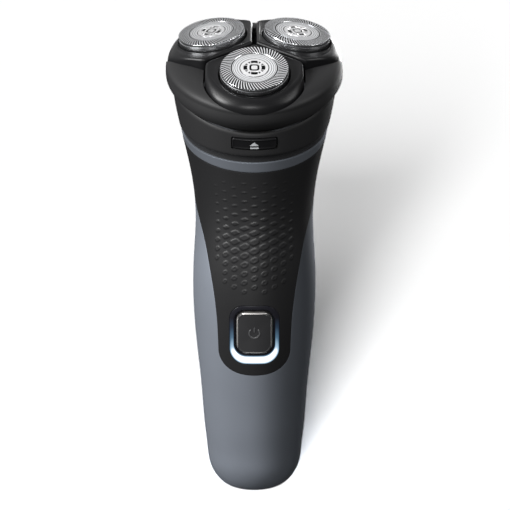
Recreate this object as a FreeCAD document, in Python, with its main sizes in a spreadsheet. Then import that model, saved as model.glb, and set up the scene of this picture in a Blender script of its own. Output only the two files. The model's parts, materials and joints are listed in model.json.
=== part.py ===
import FreeCAD, Part
import math
import os

import Sketcher
from FreeCAD import Placement, Rotation, Vector

# Electric shaver with three rotary heads: millimetres, +Z up along the handle,
# front towards -Y, origin under the middle of the part.

doc = FreeCAD.newDocument("ElectricShaver")
sheet = doc.addObject("Spreadsheet::Sheet", "Sizes")
nodes = []

X_AXIS = Vector(1, 0, 0)
Y_AXIS = Vector(0, 1, 0)
Z_AXIS = Vector(0, 0, 1)
HEADS = ("front", "right", "left")
# Tools that only have to reach past the part are this long, in each use.
FAR = 200
THROUGH = "20"

DIMENSIONS = (
    ("axis_y", -2.0, "shift that puts the origin under the middle of the part"),
    ("wall", 1.8, "wall of the plastic shells"),
    ("fit", 0.1, "clearance of parts that lie inside a shell"),
    ("end_round", 14.0, "height over which the lower end rounds off"),
    ("end_flat", 0.42, "share of the width that stays flat at the lower end"),
    ("cap_plane", 158.1, "height of the middle of the cap plane"),
    ("unit_tilt", 19.5, "forward tilt of the shaving unit, degrees"),
    ("cap_lean", 9.5, "outward lean of each cap, degrees"),
    ("head_radius", 16.8, "unit axis to cap centre"),
    ("drive_radius", 15.6, "unit axis to drive spindle"),
    ("cap_radius", 11.25, "outer radius of a shaving cap"),
    ("cap_height", 4.2, "height of the cap rim"),
    ("cap_stand", 2.5, "cap face above the pocket plate"),
    ("hub_radius", 4.6, "bright disc in the middle of a cap"),
    ("petal_radius", 15.6, "outer radius of a head pocket"),
    ("petal_gap", 0.35, "gap round a head pocket"),
    ("petal_floor", 9.3, "depth of a head pocket under the cap plane"),
    ("pivot_depth", 7.6, "depth of the pocket pivots under the cap plane"),
    ("groove", 1.8, "width of the Y groove between the pockets"),
    ("skirt_floor", 15.3, "depth of the skirt's lower edge under the cap plane"),
    ("skirt_top", 4.2, "depth of the skirt's top face under the cap plane"),
    ("neck_top", 15.6, "depth of the neck's upper edge under the cap plane"),
    ("band_low", 118.3, "height of the band's lower edge at its front"),
    ("band_high", 122.0, "height of the band's upper edge at its front"),
    ("band_front", 22.4, "distance of the band's front from the handle axis"),
    ("band_low_tilt", 20.5, "tilt of the band's lower edge, degrees"),
    ("band_high_tilt", 17.2, "tilt of the band's upper edge, degrees"),
    ("button_width", 12.1, "power button"),
    ("button_height", 14.8, "power button"),
    ("button_radius", 3.2, "corner radius of the power button"),
    ("button_centre", 62.7, "height of the power button's centre"),
    ("button_proud", 0.7, "how far the power button stands out"),
    ("button_gap", 0.3, "gap round the power button"),
    ("ring_width", 17.0, "light ring"),
    ("ring_height", 21.3, "light ring"),
    ("ring_radius", 5.4, "corner radius of the light ring"),
    ("ring_centre", 61.8, "height of the light ring's centre"),
    ("ring_back", 15.0, "distance of the light ring's inner face from the axis"),
    ("button_back", 14.0, "distance of the power button's inner face from the axis"),
    ("button_front", 19.5, "distance of the handle's surface at the power button"),
    ("button_edge", 1.1, "rounding of the power button's front edge"),
    ("gear_module", 0.6, "module of centre gear and drive gears"),
    ("motor_module", 0.5, "module of motor pinion and wheel"),
    ("motor_offset", 8.25, "motor shaft in front of the unit axis"),
    ("motor_radius", 9.5, "motor can"),
    ("motor_length", 20.0, "motor can"),
    ("gear_plate_top", 24.0, "depth of the gear plate's upper face"),
    ("gear_plate_thick", 1.5, "gear plate"),
    ("cover_thick", 1.4, "gear cover"),
    ("cover_drop", 0.2, "gear cover below the neck's upper edge"),
    ("spindle_radius", 1.2, "drive spindle"),
    ("spindle_top", 6.9, "depth of the spindle tips under the cap plane"),
    ("run", 0.06, "running clearance of shafts and pins"),
    ("battery_radius", 7.1, "battery cell"),
    ("battery_length", 49.0, "battery cell"),
    ("battery_floor", 26.0, "height of the battery's lower end"),
    ("battery_back", 5.5, "distance of the battery's axis behind the handle's"),
    ("contact_thick", 0.5, "battery contacts"),
    ("contact_gap", 0.05, "gap between battery and contact"),
    ("shelf_width", 18.0, "shelves that hold the battery"),
    ("shelf_depth", 17.0, "shelves that hold the battery"),
    ("shelf_thick", 2.0, "shelves that hold the battery"),
    ("shelf_gap", 0.6, "gap between battery and shelf, for the contact"),
    ("plate_width", 22.0, "plate of the inner frame"),
    ("plate_thick", 1.4, "plate of the inner frame"),
    ("plate_length", 84.0, "plate of the inner frame"),
    ("plate_front", 7.8, "distance of the inner frame's front from the axis"),
    ("board_centre", 64.0, "height of the middle of board and frame"),
    ("board_width", 20.0, "circuit board"),
    ("board_length", 82.0, "circuit board"),
    ("board_thick", 1.2, "circuit board"),
    ("switch_size", 6.0, "side of the square push switch on the board"),
    ("switch_thick", 2.6, "push switch on the board"),
    ("plunger_radius", 1.5, "plunger of the push switch"),
    ("plunger_length", 1.2, "plunger of the push switch"),
    ("lamp_across", 7.2, "lamps from the middle of the light ring, across"),
    ("lamp_up", 7.0, "lamps from the middle of the light ring, along"),
    ("lamp_length", 1.6, "small lamp"),
    ("lamp_thick", 1.0, "small lamp"),
    ("release_width", 14.6, "release button"),
    ("release_top", 18.2, "depth of the release button's upper edge"),
    ("release_low", 21.9, "depth of the release button's lower edge"),
    ("release_back", 29.6, "unit axis to the release button's inner face"),
    ("release_length", 2.4, "release button, from its inner to its outer face"),
    ("release_gap", 0.3, "gap beside the release button"),
    ("hinge_back", 26.6, "unit axis to the unit's hinge pin"),
    ("hinge_drop", 16.2, "depth of the hinge pin under the cap plane"),
    ("hinge_lug", 1.7, "outer radius of the hinge lugs"),
    ("hinge_pin_radius", 0.8, "hinge pin"),
    ("hinge_pin_length", 14.8, "hinge pin"),
    ("neck_lug_width", 7.6, "hinge lug of the neck, between the two of the unit"),
    ("unit_lug_width", 3.5, "each hinge lug of the shaving unit"),
    ("lug_gap", 0.3, "gap between the hinge lugs"),
    ("trimmer_width", 17.0, "pop-up trimmer"),
    ("trimmer_low", 80.4, "lower end of the pop-up trimmer"),
    ("trimmer_high", 106.0, "upper end of the pop-up trimmer's arm"),
    ("trimmer_front", 15.4, "distance of the trimmer's inner face from the axis"),
    ("trimmer_gap", 0.4, "gap round the pop-up trimmer"),
    ("trimmer_pivot", 82.0, "height of the trimmer's pivot pin"),
    ("trimmer_pivot_back", 16.4, "trimmer's pivot pin behind the handle axis"),
    ("trimmer_bay_low", 78.1, "lower end of the bay that the trimmer swings in"),
    ("trimmer_bay_high", 109.4, "upper end of the bay that the trimmer swings in"),
    ("trimmer_pin_radius", 0.8, "trimmer's pivot pin"),
    ("panel_foot", 9.5, "height of the rounding that ends the grip panel"),
    ("foot_power", 2.4, "2 makes that rounding an ellipse, more makes it squarer"),
    ("socket_width", 8.0, "charging inlet"),
    ("socket_depth", 5.0, "charging inlet"),
    ("socket_height", 8.5, "charging inlet"),
    ("socket_wall", 1.0, "wall of the charging inlet"),
    ("socket_length", 12.0, "charging inlet with its floor"),
    ("socket_pin_radius", 0.75, "contact pin of the inlet"),
    ("socket_pin_length", 9.5, "contact pin of the inlet"),
    ("socket_pin_across", 2.0, "contact pins from the middle of the inlet"),
    ("slider_width", 11.0, "pad of the slide switch"),
    ("slider_height", 8.0, "pad of the slide switch"),
    ("slider_thick", 1.6, "pad of the slide switch"),
    ("slider_back", 20.9, "distance of the slide switch's pad from the axis"),
    ("slider_centre", 66.4, "height of the slide switch's middle"),
    ("slot_width", 4.6, "slot that the slide switch's stem runs in"),
    ("slot_height", 13.0, "slot that the slide switch's stem runs in"),
    ("slot_centre", 68.0, "height of the slot's middle"),
)

# Handle sections: height, half width, half depth and how far the middle lies back.
HANDLE = (
    (14.0, 16.7, 14.5, 0.0),
    (24.0, 17.7, 15.6, 0.0),
    (37.0, 18.6, 16.8, 0.0),
    (54.0, 20.2, 18.6, 0.0),
    (68.0, 21.1, 19.6, 0.0),
    (84.0, 20.9, 19.8, 0.0),
    (99.0, 20.1, 19.6, 0.1),
    (113.0, 21.3, 20.9, 0.3),
    (127.0, 24.3, 23.6, 0.7),
    (140.0, 27.0, 26.0, 1.2),
    (156.0, 28.4, 27.2, 1.6),
)
# Shares of the rounding's height at which the lower end has a section. The hollow
# inside starts at the section with this number, which leaves a floor under it.
END_STEPS = (0.0, 0.04, 0.14, 0.32, 0.6)
INNER_FIRST = 4

# Shaving unit sections: depth under the cap plane, mean radius, how far each of
# the three lobes stands out, and how far the middle lies forward.
ENVELOPE = (
    (15.3, 27.6, 0.4, 3.2),
    (12.0, 29.3, 1.0, 2.3),
    (9.0, 29.5, 1.7, 1.0),
    (6.6, 28.9, 1.9, 0.3),
    (5.0, 27.3, 2.0, 0.0),
    (3.5, 25.8, 2.2, 0.0),
    (1.0, 24.0, 2.4, 0.0),
    (-1.0, 22.5, 2.4, 0.0),
)

# Right half of the grip panel's edge: distance from the middle and height.
PANEL_EDGE = (
    (22.0, 108.0),
    (19.2, 101.5),
    (17.4, 95.5),
    (15.4, 86.0),
    (13.6, 75.0),
    (12.5, 62.5),
    (12.3, 56.4),
)


def fill_sheet():
    """Writes every driving dimension into the sheet, one row each."""
    rows = [(alias, amount, text) for alias, amount, text in DIMENSIONS]
    for index, station in enumerate(all_stations()):
        names = ("height", "half_width", "half_depth", "middle")
        for name, amount in zip(names, station):
            rows.append((f"{name}_{index}", amount, "handle section"))
    for row, (alias, amount, text) in enumerate(rows, start=1):
        sheet.set(f"A{row}", text)
        sheet.set(f"B{row}", repr(amount))
        sheet.setAlias(f"B{row}", alias)
    doc.recompute()


def all_stations():
    """The sections of the rounded lower end, and then those of the handle."""
    amounts = {alias: amount for alias, amount, _ in DIMENSIONS}
    flat = amounts["end_flat"]
    _, half_width, half_depth, middle = HANDLE[0]
    stations = []
    for step in END_STEPS:
        share = flat + (1 - flat) * math.sqrt(1 - (1 - step) ** 2)
        height = step * amounts["end_round"]
        stations.append((height, half_width * share, half_depth * share, middle))
    return stations + list(HANDLE)


def value(expression):
    """The number that an expression on the sheet has now."""
    return float(sheet.evalExpression(expression))


def size(alias):
    return float(sheet.get(alias))


def at(across, back, height):
    """A point beside the handle axis, in the part's own frame."""
    return Vector(across, back + size("axis_y"), height)


def unit_frame():
    """The shaving unit's frame: origin in the cap plane, Z along the unit axis."""
    return Placement(at(0, 0, size("cap_plane")), Rotation(X_AXIS, size("unit_tilt")))


def head_frame(index):
    """The unit frame turned so that head number index lies towards -Y."""
    return unit_frame() * Placement(Vector(), Rotation(Z_AXIS, 120 * index))


def cap_frame(index):
    """The frame of a cap: its centre, Z along the cap's own axis."""
    centre = Vector(0, -size("head_radius"), 0)
    return head_frame(index) * Placement(centre, Rotation(X_AXIS, size("cap_lean")))


def node(thing, name):
    """Names a finished sub-part and puts it on the list that is written out."""
    thing.Label = name
    nodes.append(thing)
    return thing


# ---------------------------------------------------------------- building blocks


def block(name, sizes, centre, frame=None):
    """A box with its three sizes bound to the sheet, about a centre in a frame."""
    thing = doc.addObject("Part::Box", name)
    spans = []
    for side, expression in zip(("Length", "Width", "Height"), sizes):
        thing.setExpression(side, expression)
        spans.append(thing.evalExpression(expression))
    corner = centre - Vector(*spans) * 0.5
    thing.Placement = (frame or Placement()) * Placement(corner, Rotation())
    return thing


def rod(name, radius, length, foot, frame=None, direction=None):
    """A cylinder from its foot along a direction, in a frame."""
    thing = doc.addObject("Part::Cylinder", name)
    thing.setExpression("Radius", radius)
    thing.setExpression("Height", length)
    turn = Rotation(Z_AXIS, direction or Z_AXIS)
    thing.Placement = (frame or Placement()) * Placement(foot, turn)
    return thing


def cut(name, base, *tools):
    """The base without the tools."""
    tool = tools[0] if len(tools) == 1 else fuse(name + "_tools", *tools)
    thing = doc.addObject("Part::Cut", name)
    thing.Base = base
    thing.Tool = tool
    return thing


def fuse(name, *things):
    """One solid out of several."""
    thing = doc.addObject("Part::MultiFuse", name)
    thing.Shapes = list(things)
    return thing


def common(name, *things):
    """What several solids share."""
    thing = doc.addObject("Part::MultiCommon", name)
    thing.Shapes = list(things)
    return thing


def group(name, *things):
    """Separate solids kept in one sub-part."""
    thing = doc.addObject("Part::Compound", name)
    thing.Links = list(things)
    return thing


def solid(name, shape):
    """A shape made with Part's own functions."""
    thing = doc.addObject("Part::Feature", name)
    thing.Shape = shape
    return thing


def plane_of(body, role):
    """The origin plane of a body, found by its role."""
    return [item for item in body.Origin.OriginFeatures if item.Role == role][0]


def outline_sketch(body, name, role, corners):
    """A closed outline of straight sides; each corner's two places are expressions."""
    sketch = body.newObject("Sketcher::SketchObject", name)
    sketch.AttachmentSupport = [(plane_of(body, role), "")]
    sketch.MapMode = "FlatFace"
    places = [(value(across), value(up)) for across, up in corners]
    count = len(places)
    for index, (across, up) in enumerate(places):
        to_across, to_up = places[(index + 1) % count]
        side = Part.LineSegment(Vector(across, up, 0), Vector(to_across, to_up, 0))
        sketch.addGeometry(side, False)
    for index in range(count):
        following = (index + 1) % count
        sketch.addConstraint(Sketcher.Constraint("Coincident", index, 2, following, 1))
    for index, corner in enumerate(corners):
        for kind, axis, expression in zip(("DistanceX", "DistanceY"), (-2, -1), corner):
            bind_place(sketch, kind, axis, index, expression)
    return sketch


def bind_place(sketch, kind, axis, index, expression):
    """Ties one coordinate of a corner to the sheet, or to an axis when it is zero."""
    amount = value(expression)
    if abs(amount) < 1e-9:
        sketch.addConstraint(Sketcher.Constraint("PointOnObject", index, 1, axis))
        return
    number = sketch.addConstraint(Sketcher.Constraint(kind, -1, 1, index, 1, amount))
    sketch.setExpression(f"Constraints[{number}]", on_sheet(expression))


def on_sheet(expression):
    """The expression as another object writes it: every alias is on the sheet."""
    words = []
    for word in expression.replace("(", "( ").replace(")", " )").split(" "):
        is_alias = word[:1].isalpha()
        words.append("Sizes." + word if is_alias else word)
    return " ".join(words)


def turned(name, corners, frame):
    """A solid of revolution: corners are (radius, height) expressions."""
    body = doc.addObject("PartDesign::Body", name)
    sketch = outline_sketch(body, name + "_profile", "XZ_Plane", corners)
    doc.recompute()
    turn = body.newObject("PartDesign::Revolution", name + "_turn")
    turn.Profile = sketch
    turn.ReferenceAxis = (sketch, ["V_Axis"])
    turn.Angle = 360
    body.Placement = frame
    doc.recompute()
    return body


def keystone(name, width, height, radius, length, frame, edge="0"):
    """A rounded rectangle in the XZ plane of its frame, padded towards -Y.

    width, height, radius, length and edge are expressions; edge, when it isn't
    zero, is the radius that rounds the outer rim of the front face.
    """
    body = doc.addObject("PartDesign::Body", name)
    half = (f"({width}) / 2", f"({height}) / 2")
    corners = [(s + " * " + half[0], t + " * " + half[1]) for s, t in
               (("-1", "-1"), ("1", "-1"), ("1", "1"), ("-1", "1"))]
    sketch = outline_sketch(body, name + "_outline", "XZ_Plane", corners)
    doc.recompute()
    pad = body.newObject("PartDesign::Pad", name + "_pad")
    pad.Profile = sketch
    pad.setExpression("Length", on_sheet(length))
    doc.recompute()
    round_edges(body, pad, name + "_corners", radius, is_along_y)
    if value(edge) > 0:
        round_edges(body, body.Tip, name + "_rim", edge, is_in_front)
    body.Placement = frame
    return body


def is_along_y(edge):
    ends = edge.BoundBox
    return ends.YLength > 1e-6 and ends.XLength < 1e-6 and ends.ZLength < 1e-6


def is_in_front(edge):
    return edge.BoundBox.YLength < 1e-6 and edge.BoundBox.YMin < -1e-3


def round_edges(body, base, name, radius, picks):
    """Fillets the edges of a feature that a test picks out."""
    names = [f"Edge{i}" for i, edge in enumerate(base.Shape.Edges, 1) if picks(edge)]
    fillet = body.newObject("PartDesign::Fillet", name)
    fillet.Base = (base, names)
    fillet.setExpression("Radius", on_sheet(radius))
    doc.recompute()


# ---------------------------------------------------------------- shared volumes


def handle_volume(name, inset, first=0):
    """The handle's elliptical sections, lofted, drawn in by an inset expression."""
    sections = []
    for index in range(first, len(END_STEPS) + len(HANDLE)):
        ring = doc.addObject("Part::Ellipse", f"{name}_ring_{index}")
        ring.setExpression("MajorRadius", f"Sizes.half_width_{index} - {inset}")
        ring.setExpression("MinorRadius", f"Sizes.half_depth_{index} - {inset}")
        ring.setExpression("Placement.Base.y", f"Sizes.middle_{index} + Sizes.axis_y")
        ring.setExpression("Placement.Base.z", f"Sizes.height_{index}")
        sections.append(ring)
    loft = doc.addObject("Part::Loft", name)
    loft.Sections = sections
    loft.Solid = True
    return loft


def lobed_wire(depth, mean, lobe, forward, inset):
    """A closed curve with three lobes, one of them to the front."""
    points = []
    for step in range(36):
        angle = math.radians(10 * step)
        reach = mean - inset + lobe * math.cos(3 * (angle + math.pi / 2))
        across, back = reach * math.cos(angle), reach * math.sin(angle) - forward
        points.append(Vector(across, back, -depth))
    curve = Part.BSplineCurve()
    curve.interpolate(Points=points, PeriodicFlag=True)
    return Part.Wire([curve.toShape()])


def unit_volume(name, inset, rings):
    """The shaving unit's outer form, drawn in by an inset."""
    wires = [lobed_wire(*ring, inset) for ring in rings]
    thing = solid(name, Part.makeLoft(wires, True))
    thing.Placement = unit_frame()
    return thing


def slab(name, low, high, frame):
    """A wide slab between two heights of a frame."""
    centre = Vector(0, 0, (low + high) / 2)
    return block(name, (str(FAR), str(FAR), str(high - low)), centre, frame)


def band_frame(height, tilt):
    """A frame whose XY plane is an edge of the grey band."""
    front = at(0, -size("band_front"), size(height))
    return Placement(front, Rotation(X_AXIS, size(tilt)))


def unit_slab(name, low, high):
    """A slab between two depths under the cap plane."""
    return slab(name, -high, -low, unit_frame())


def panel_prism():
    """The block that takes the grip panel out of the front of the handle."""
    side = [Vector(across, 0, height) for across, height in PANEL_EDGE]
    top = Vector(side[0].x * 2, 0, size("cap_plane"))
    shoulder = Vector(top.x, 0, side[0].z)
    low = side[-1]
    foot = []
    steps, squareness = 8, 2 / size("foot_power")
    for step in range(steps + 1):
        angle = math.pi / 2 * step / steps
        drop = size("panel_foot") * math.sin(angle) ** squareness
        foot.append(Vector(low.x * abs(math.cos(angle)) ** squareness, 0, low.z - drop))
    curve, end = Part.BSplineCurve(), Part.BSplineCurve()
    curve.interpolate(side)
    level, upright = Vector(-1, 0, 0), Vector(0, 0, -1)
    end.interpolate(Points=foot, InitialTangent=upright, FinalTangent=level)
    half = [
        Part.makeLine(Vector(0, 0, top.z), top),
        Part.makeLine(top, shoulder),
        Part.makeLine(shoulder, side[0]),
        curve.toShape(),
        end.toShape(),
    ]
    other = [edge.mirror(Vector(), X_AXIS) for edge in half]
    wire = Part.Wire(Part.__sortEdges__(half + other))
    prism = Part.Face(wire).extrude(Vector(0, -FAR, 0))
    thing = solid("panel_prism", prism)
    thing.Placement = Placement(at(0, 0, 0), Rotation())
    return thing


# ---------------------------------------------------------------- handle shells


def make_handle_shells():
    """Rear shell, grip panel, grey band and neck: one wall, split along its seams.

    Gives back the handle's outer volume, which the trimmer is fitted to.
    """
    outer = handle_volume("handle_outer", "0")
    inner = handle_volume("handle_inner", "Sizes.wall", INNER_FIRST)
    wall = cut("handle_wall", outer, inner)
    prism = panel_prism()
    low, high = band_frame("band_low", "band_low_tilt"), band_frame("band_high", "band_high_tilt")
    lower = common("handle_lower", wall, slab("under_band", -FAR, 0, low))
    middle = common("band_middle", wall, slab("over_low", 0, FAR, low))
    node(common("neck_ring", middle, slab("under_high", -FAR, 0, high)), "neck_ring")
    upper = common("neck_wall", wall, slab("over_high", 0, FAR, high))
    neck = common("neck_plain", upper, unit_slab("under_unit", size("neck_top"), FAR))
    node(make_neck(neck), "neck_housing")
    ring_hole = ring_block("ring_hole", size("fit") / 2)
    panel = common("panel_plain", lower, prism)
    node(cut("front_panel", panel, ring_hole), "front_panel")
    shell = cut("rear_plain", lower, prism)
    node(cut("rear_shell", shell, *shell_openings()), "rear_shell")
    ring = common("ring_plain", outer, ring_block("ring_outer", 0))
    node(cut("light_ring", ring, button_hole()), "light_ring")
    return outer


def ring_block(name, extra):
    """The rounded block of the light ring, from inside the wall out to the front."""
    frame = Placement(at(0, -size("ring_back"), size("ring_centre")), Rotation())
    width = f"ring_width + {2 * extra}"
    height = f"ring_height + {2 * extra}"
    return keystone(name, width, height, "ring_radius", THROUGH, frame)


def button_hole():
    """The hole in the light ring that the power button travels in."""
    frame = Placement(at(0, 0, size("button_centre")), Rotation())
    width, height = "button_width + 2 * button_gap", "button_height + 2 * button_gap"
    radius = "button_radius + button_gap"
    return keystone("button_hole", width, height, radius, str(FAR), frame)


def shell_openings():
    """Openings of the rear shell: charging inlet, trimmer bay and switch slot."""
    around = "2 * Sizes.socket_wall + Sizes.fit"
    inlet_sides = ("Sizes.socket_width + " + around, "Sizes.socket_depth + " + around)
    inlet = block("inlet_hole", inlet_sides + ("2 * Sizes.end_round",), at(0, 0, 0))
    low, high = size("trimmer_bay_low"), size("trimmer_bay_high")
    bay_front = size("trimmer_front") - 1
    bay = block("trimmer_bay", ("Sizes.trimmer_width + 2 * Sizes.trimmer_gap", THROUGH,
                "Sizes.trimmer_bay_high - Sizes.trimmer_bay_low"),
                at(0, bay_front + float(THROUGH) / 2, (low + high) / 2))
    slot = block("switch_slot", ("Sizes.slot_width", THROUGH, "Sizes.slot_height"),
                 at(0, size("slider_back"), size("slot_centre")))
    return inlet, bay, slot, trimmer_pin_rod("pin_hole")


def trimmer_pin_rod(name):
    """The pivot pin of the trimmer, also the hole that it sits in."""
    length = size("trimmer_width") + 2.6
    foot = at(-length / 2, size("trimmer_pivot_back"), size("trimmer_pivot"))
    return rod(name, "Sizes.trimmer_pin_radius", str(length), foot, None, X_AXIS)


def make_neck(neck):
    """The neck with its release button opening and the lug that carries the hinge."""
    frame = unit_frame()
    middle = (size("release_top") + size("release_low")) / 2
    opening = block("release_hole", ("Sizes.release_width + 2 * Sizes.release_gap", THROUGH,
                    "Sizes.release_low - Sizes.release_top + 2 * Sizes.release_gap"),
                    Vector(0, -size("release_back") - 4, -middle), frame)
    back, drop, width = size("hinge_back"), size("hinge_drop"), size("neck_lug_width")
    lug = rod("neck_lug", "Sizes.hinge_lug", "Sizes.neck_lug_width",
              Vector(-width / 2, back, -drop), frame, X_AXIS)
    bridge = block("neck_bridge", ("Sizes.neck_lug_width", "3.2", "1.9"),
                   Vector(0, back - 1.6, -drop - 0.55), frame)
    bore = rod("neck_bore", "Sizes.hinge_pin_radius + 0.02", "2 * Sizes.neck_lug_width",
               Vector(-width, back, -drop), frame, X_AXIS)
    solid_neck = fuse("neck_solid", neck, lug, bridge)
    return cut("neck_housing", solid_neck, opening, bore)


# ---------------------------------------------------------------- buttons


def make_power_button():
    """Rounded cap that stands a little proud in the light ring."""
    frame = Placement(at(0, -size("button_back"), size("button_centre")), Rotation())
    length = "button_front + button_proud - button_back"
    body = keystone("power_button", "button_width", "button_height", "button_radius",
                    length, frame, "button_edge")
    node(body, "power_button")


def make_release_button():
    """Bar in the front of the neck that frees the shaving unit."""
    middle = (size("release_top") + size("release_low")) / 2
    frame = unit_frame() * Placement(Vector(0, -size("release_back"), -middle), Rotation())
    body = keystone("release_button", "release_width", "release_low - release_top", "0.6",
                    "release_length", frame, "0.4")
    node(body, "release_button")


# ---------------------------------------------------------------- inside the handle


def make_frame_and_battery():
    """Inner frame with two shelves, the battery between them and its contacts."""
    floor, length = size("battery_floor"), size("battery_length")
    gap = size("shelf_gap") + size("shelf_thick") / 2
    plate = block("frame_plate",
                  ("Sizes.plate_width", "Sizes.plate_thick", "Sizes.plate_length"),
                  at(0, size("plate_thick") / 2 - size("plate_front"), size("board_centre")))
    shelf = ("Sizes.shelf_width", "Sizes.shelf_depth", "Sizes.shelf_thick")
    low = block("frame_low", shelf, at(0, 2, floor - gap))
    high = block("frame_high", shelf, at(0, 2, floor + length + gap))
    node(fuse("inner_frame", plate, low, high), "inner_frame")
    cell = rod("battery_cell", "Sizes.battery_radius", "Sizes.battery_length",
               at(0, size("battery_back"), floor))
    node(cell, "battery_cell")
    reach = length / 2 + size("contact_gap") + size("contact_thick") / 2
    tabs = [block(f"contact_{i}", ("8", "9", "Sizes.contact_thick"),
                  at(0, size("battery_back"), floor + length / 2 + side * reach))
            for i, side in enumerate((-1, 1))]
    node(group("battery_contacts", *tabs), "battery_contacts")


def make_board():
    """Circuit board with its switch and the small lamps behind the light ring."""
    back, thick = size("plate_front"), size("board_thick")
    board_front = -back - thick
    board = block("circuit_board", ("Sizes.board_width", "Sizes.board_thick", "Sizes.board_length"),
                  at(0, -back - thick / 2, size("board_centre")))
    node(board, "circuit_board")
    centre = size("button_centre")
    case_front = board_front - size("switch_thick")
    switch = block("switch_case", ("Sizes.switch_size", "Sizes.switch_thick", "Sizes.switch_size"),
                   at(0, (board_front + case_front) / 2, centre))
    plunger = rod("switch_plunger", "Sizes.plunger_radius", "Sizes.plunger_length",
                  at(0, case_front, centre), None, -Y_AXIS)
    node(fuse("tact_switch", switch, plunger), "tact_switch")
    lamps = []
    for side in (-1, 1):
        for up in (-1, 1):
            place = at(size("lamp_across") * side, board_front - size("lamp_thick") / 2,
                       size("ring_centre") + size("lamp_up") * up)
            sides = ("Sizes.lamp_length", "Sizes.lamp_thick", "Sizes.lamp_thick")
            lamps.append(block(f"lamp_{side}_{up}", sides, place))
    node(group("ring_lamps", *lamps), "ring_lamps")


def make_inlet():
    """Charging inlet in the lower end, with two pins that stay back from its mouth."""
    start, across = 0.2, size("socket_pin_across")
    floor = size("socket_height")
    sides = ("Sizes.socket_width", "Sizes.socket_depth")
    around = tuple(side + " + 2 * Sizes.socket_wall" for side in sides)
    outer = block("socket_outer", around + ("Sizes.socket_length",),
                  at(0, 0, start + size("socket_length") / 2))
    mouth = block("socket_mouth", sides + ("2 * Sizes.socket_height",), at(0, 0, 0))
    bores = [rod(f"pin_bore_{side}", "Sizes.socket_pin_radius + 0.01", "Sizes.socket_length",
                 at(across * side, 0, floor / 2)) for side in (-1, 1)]
    node(cut("charging_socket", outer, mouth, *bores), "charging_socket")
    pins = [rod(f"socket_pin_{side}", "Sizes.socket_pin_radius", "Sizes.socket_pin_length",
                at(across * side, 0, 4.6)) for side in (-1, 1)]
    node(group("socket_pins", *pins), "socket_pins")


# ---------------------------------------------------------------- transmission


def gear_shape(teeth, module, first_angle, thick):
    """A spur gear with straight-sided teeth, one of them centred on first_angle."""
    pitch_radius = teeth * module / 2
    tip, root = pitch_radius + 0.8 * module, pitch_radius - 1.1 * module
    step = 2 * math.pi / teeth
    corners = []
    for tooth in range(teeth):
        middle = math.radians(first_angle) + tooth * step
        for offset, radius in ((-0.30, root), (-0.11, tip), (0.11, tip), (0.30, root)):
            angle = middle + offset * step
            corners.append(Vector(radius * math.cos(angle), radius * math.sin(angle), 0))
    wire = Part.makePolygon(corners + corners[:1])
    return Part.Face(wire).extrude(Vector(0, 0, thick))


def gear(name, teeth, module, first_angle, place, thick, bore):
    """A gear in the unit frame, with a bore for its shaft."""
    shape = gear_shape(teeth, module, first_angle, thick)
    hole = Part.makeCylinder(bore, thick)
    thing = solid(name, shape.cut(hole))
    thing.Placement = place
    return thing


CENTRE_TEETH = 39
DRIVE_TEETH = 13
WHEEL_TEETH = 24
PINION_TEETH = 9
SHAFT_RADIUS = 1.0
# Depths under the cap plane at which the gears' lower faces lie, and the gears' widths.
WHEEL_DEPTH, WHEEL_THICK = 23.7, 3.0
CENTRE_DEPTH, CENTRE_THICK = 20.7, 2.6
DRIVE_DEPTH, DRIVE_THICK = 20.5, 2.2
PINION_THICK = 2.5
SPINDLE_FOOT = 23.6
SCREW_REACH = 15.2
SCREW_HOLE = "1.1"


def make_motor():
    """Motor under the gear plate, in front of the unit axis, with shaft and pinion."""
    frame = unit_frame()
    top = size("gear_plate_top") + size("gear_plate_thick")
    foot = Vector(0, -size("motor_offset"), -top - size("motor_length"))
    can = rod("motor_body", "Sizes.motor_radius", "Sizes.motor_length", foot, frame)
    bearing = 2
    bore = rod("motor_bore", f"{SHAFT_RADIUS} + Sizes.run", f"Sizes.motor_length - {bearing}",
               foot + Vector(0, 0, bearing), frame)
    node(cut("motor_can", can, bore), "motor_can")
    start = foot + Vector(0, 0, bearing + 1)
    end = -WHEEL_DEPTH + PINION_THICK + 0.1
    shaft = rod("motor_shaft", str(SHAFT_RADIUS), str(round(end - start.z, 3)), start, frame)
    node(shaft, "motor_shaft")
    place = frame * Placement(Vector(0, -size("motor_offset"), -WHEEL_DEPTH), Rotation())
    pinion = gear("motor_pinion", PINION_TEETH, size("motor_module"), 90 + 180 / PINION_TEETH,
                  place, PINION_THICK, SHAFT_RADIUS)
    node(pinion, "motor_pinion")


def make_centre_gear():
    """Two-step gear: a small wheel that the motor turns under the wide centre gear."""
    frame = unit_frame()
    low = frame * Placement(Vector(0, 0, -WHEEL_DEPTH), Rotation())
    high = frame * Placement(Vector(0, 0, -CENTRE_DEPTH), Rotation())
    bore = size("spindle_radius") + size("run")
    wheel = gear("centre_wheel", WHEEL_TEETH, size("motor_module"), -90, low, WHEEL_THICK, bore)
    wide = gear("centre_wide", CENTRE_TEETH, size("gear_module"), -90, high, CENTRE_THICK, bore)
    node(fuse("centre_gear", wheel, wide), "centre_gear")
    foot = Vector(0, 0, -size("gear_plate_top") - 1)
    node(rod("centre_axle", "Sizes.spindle_radius", "7.6", foot, frame), "centre_axle")


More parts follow.
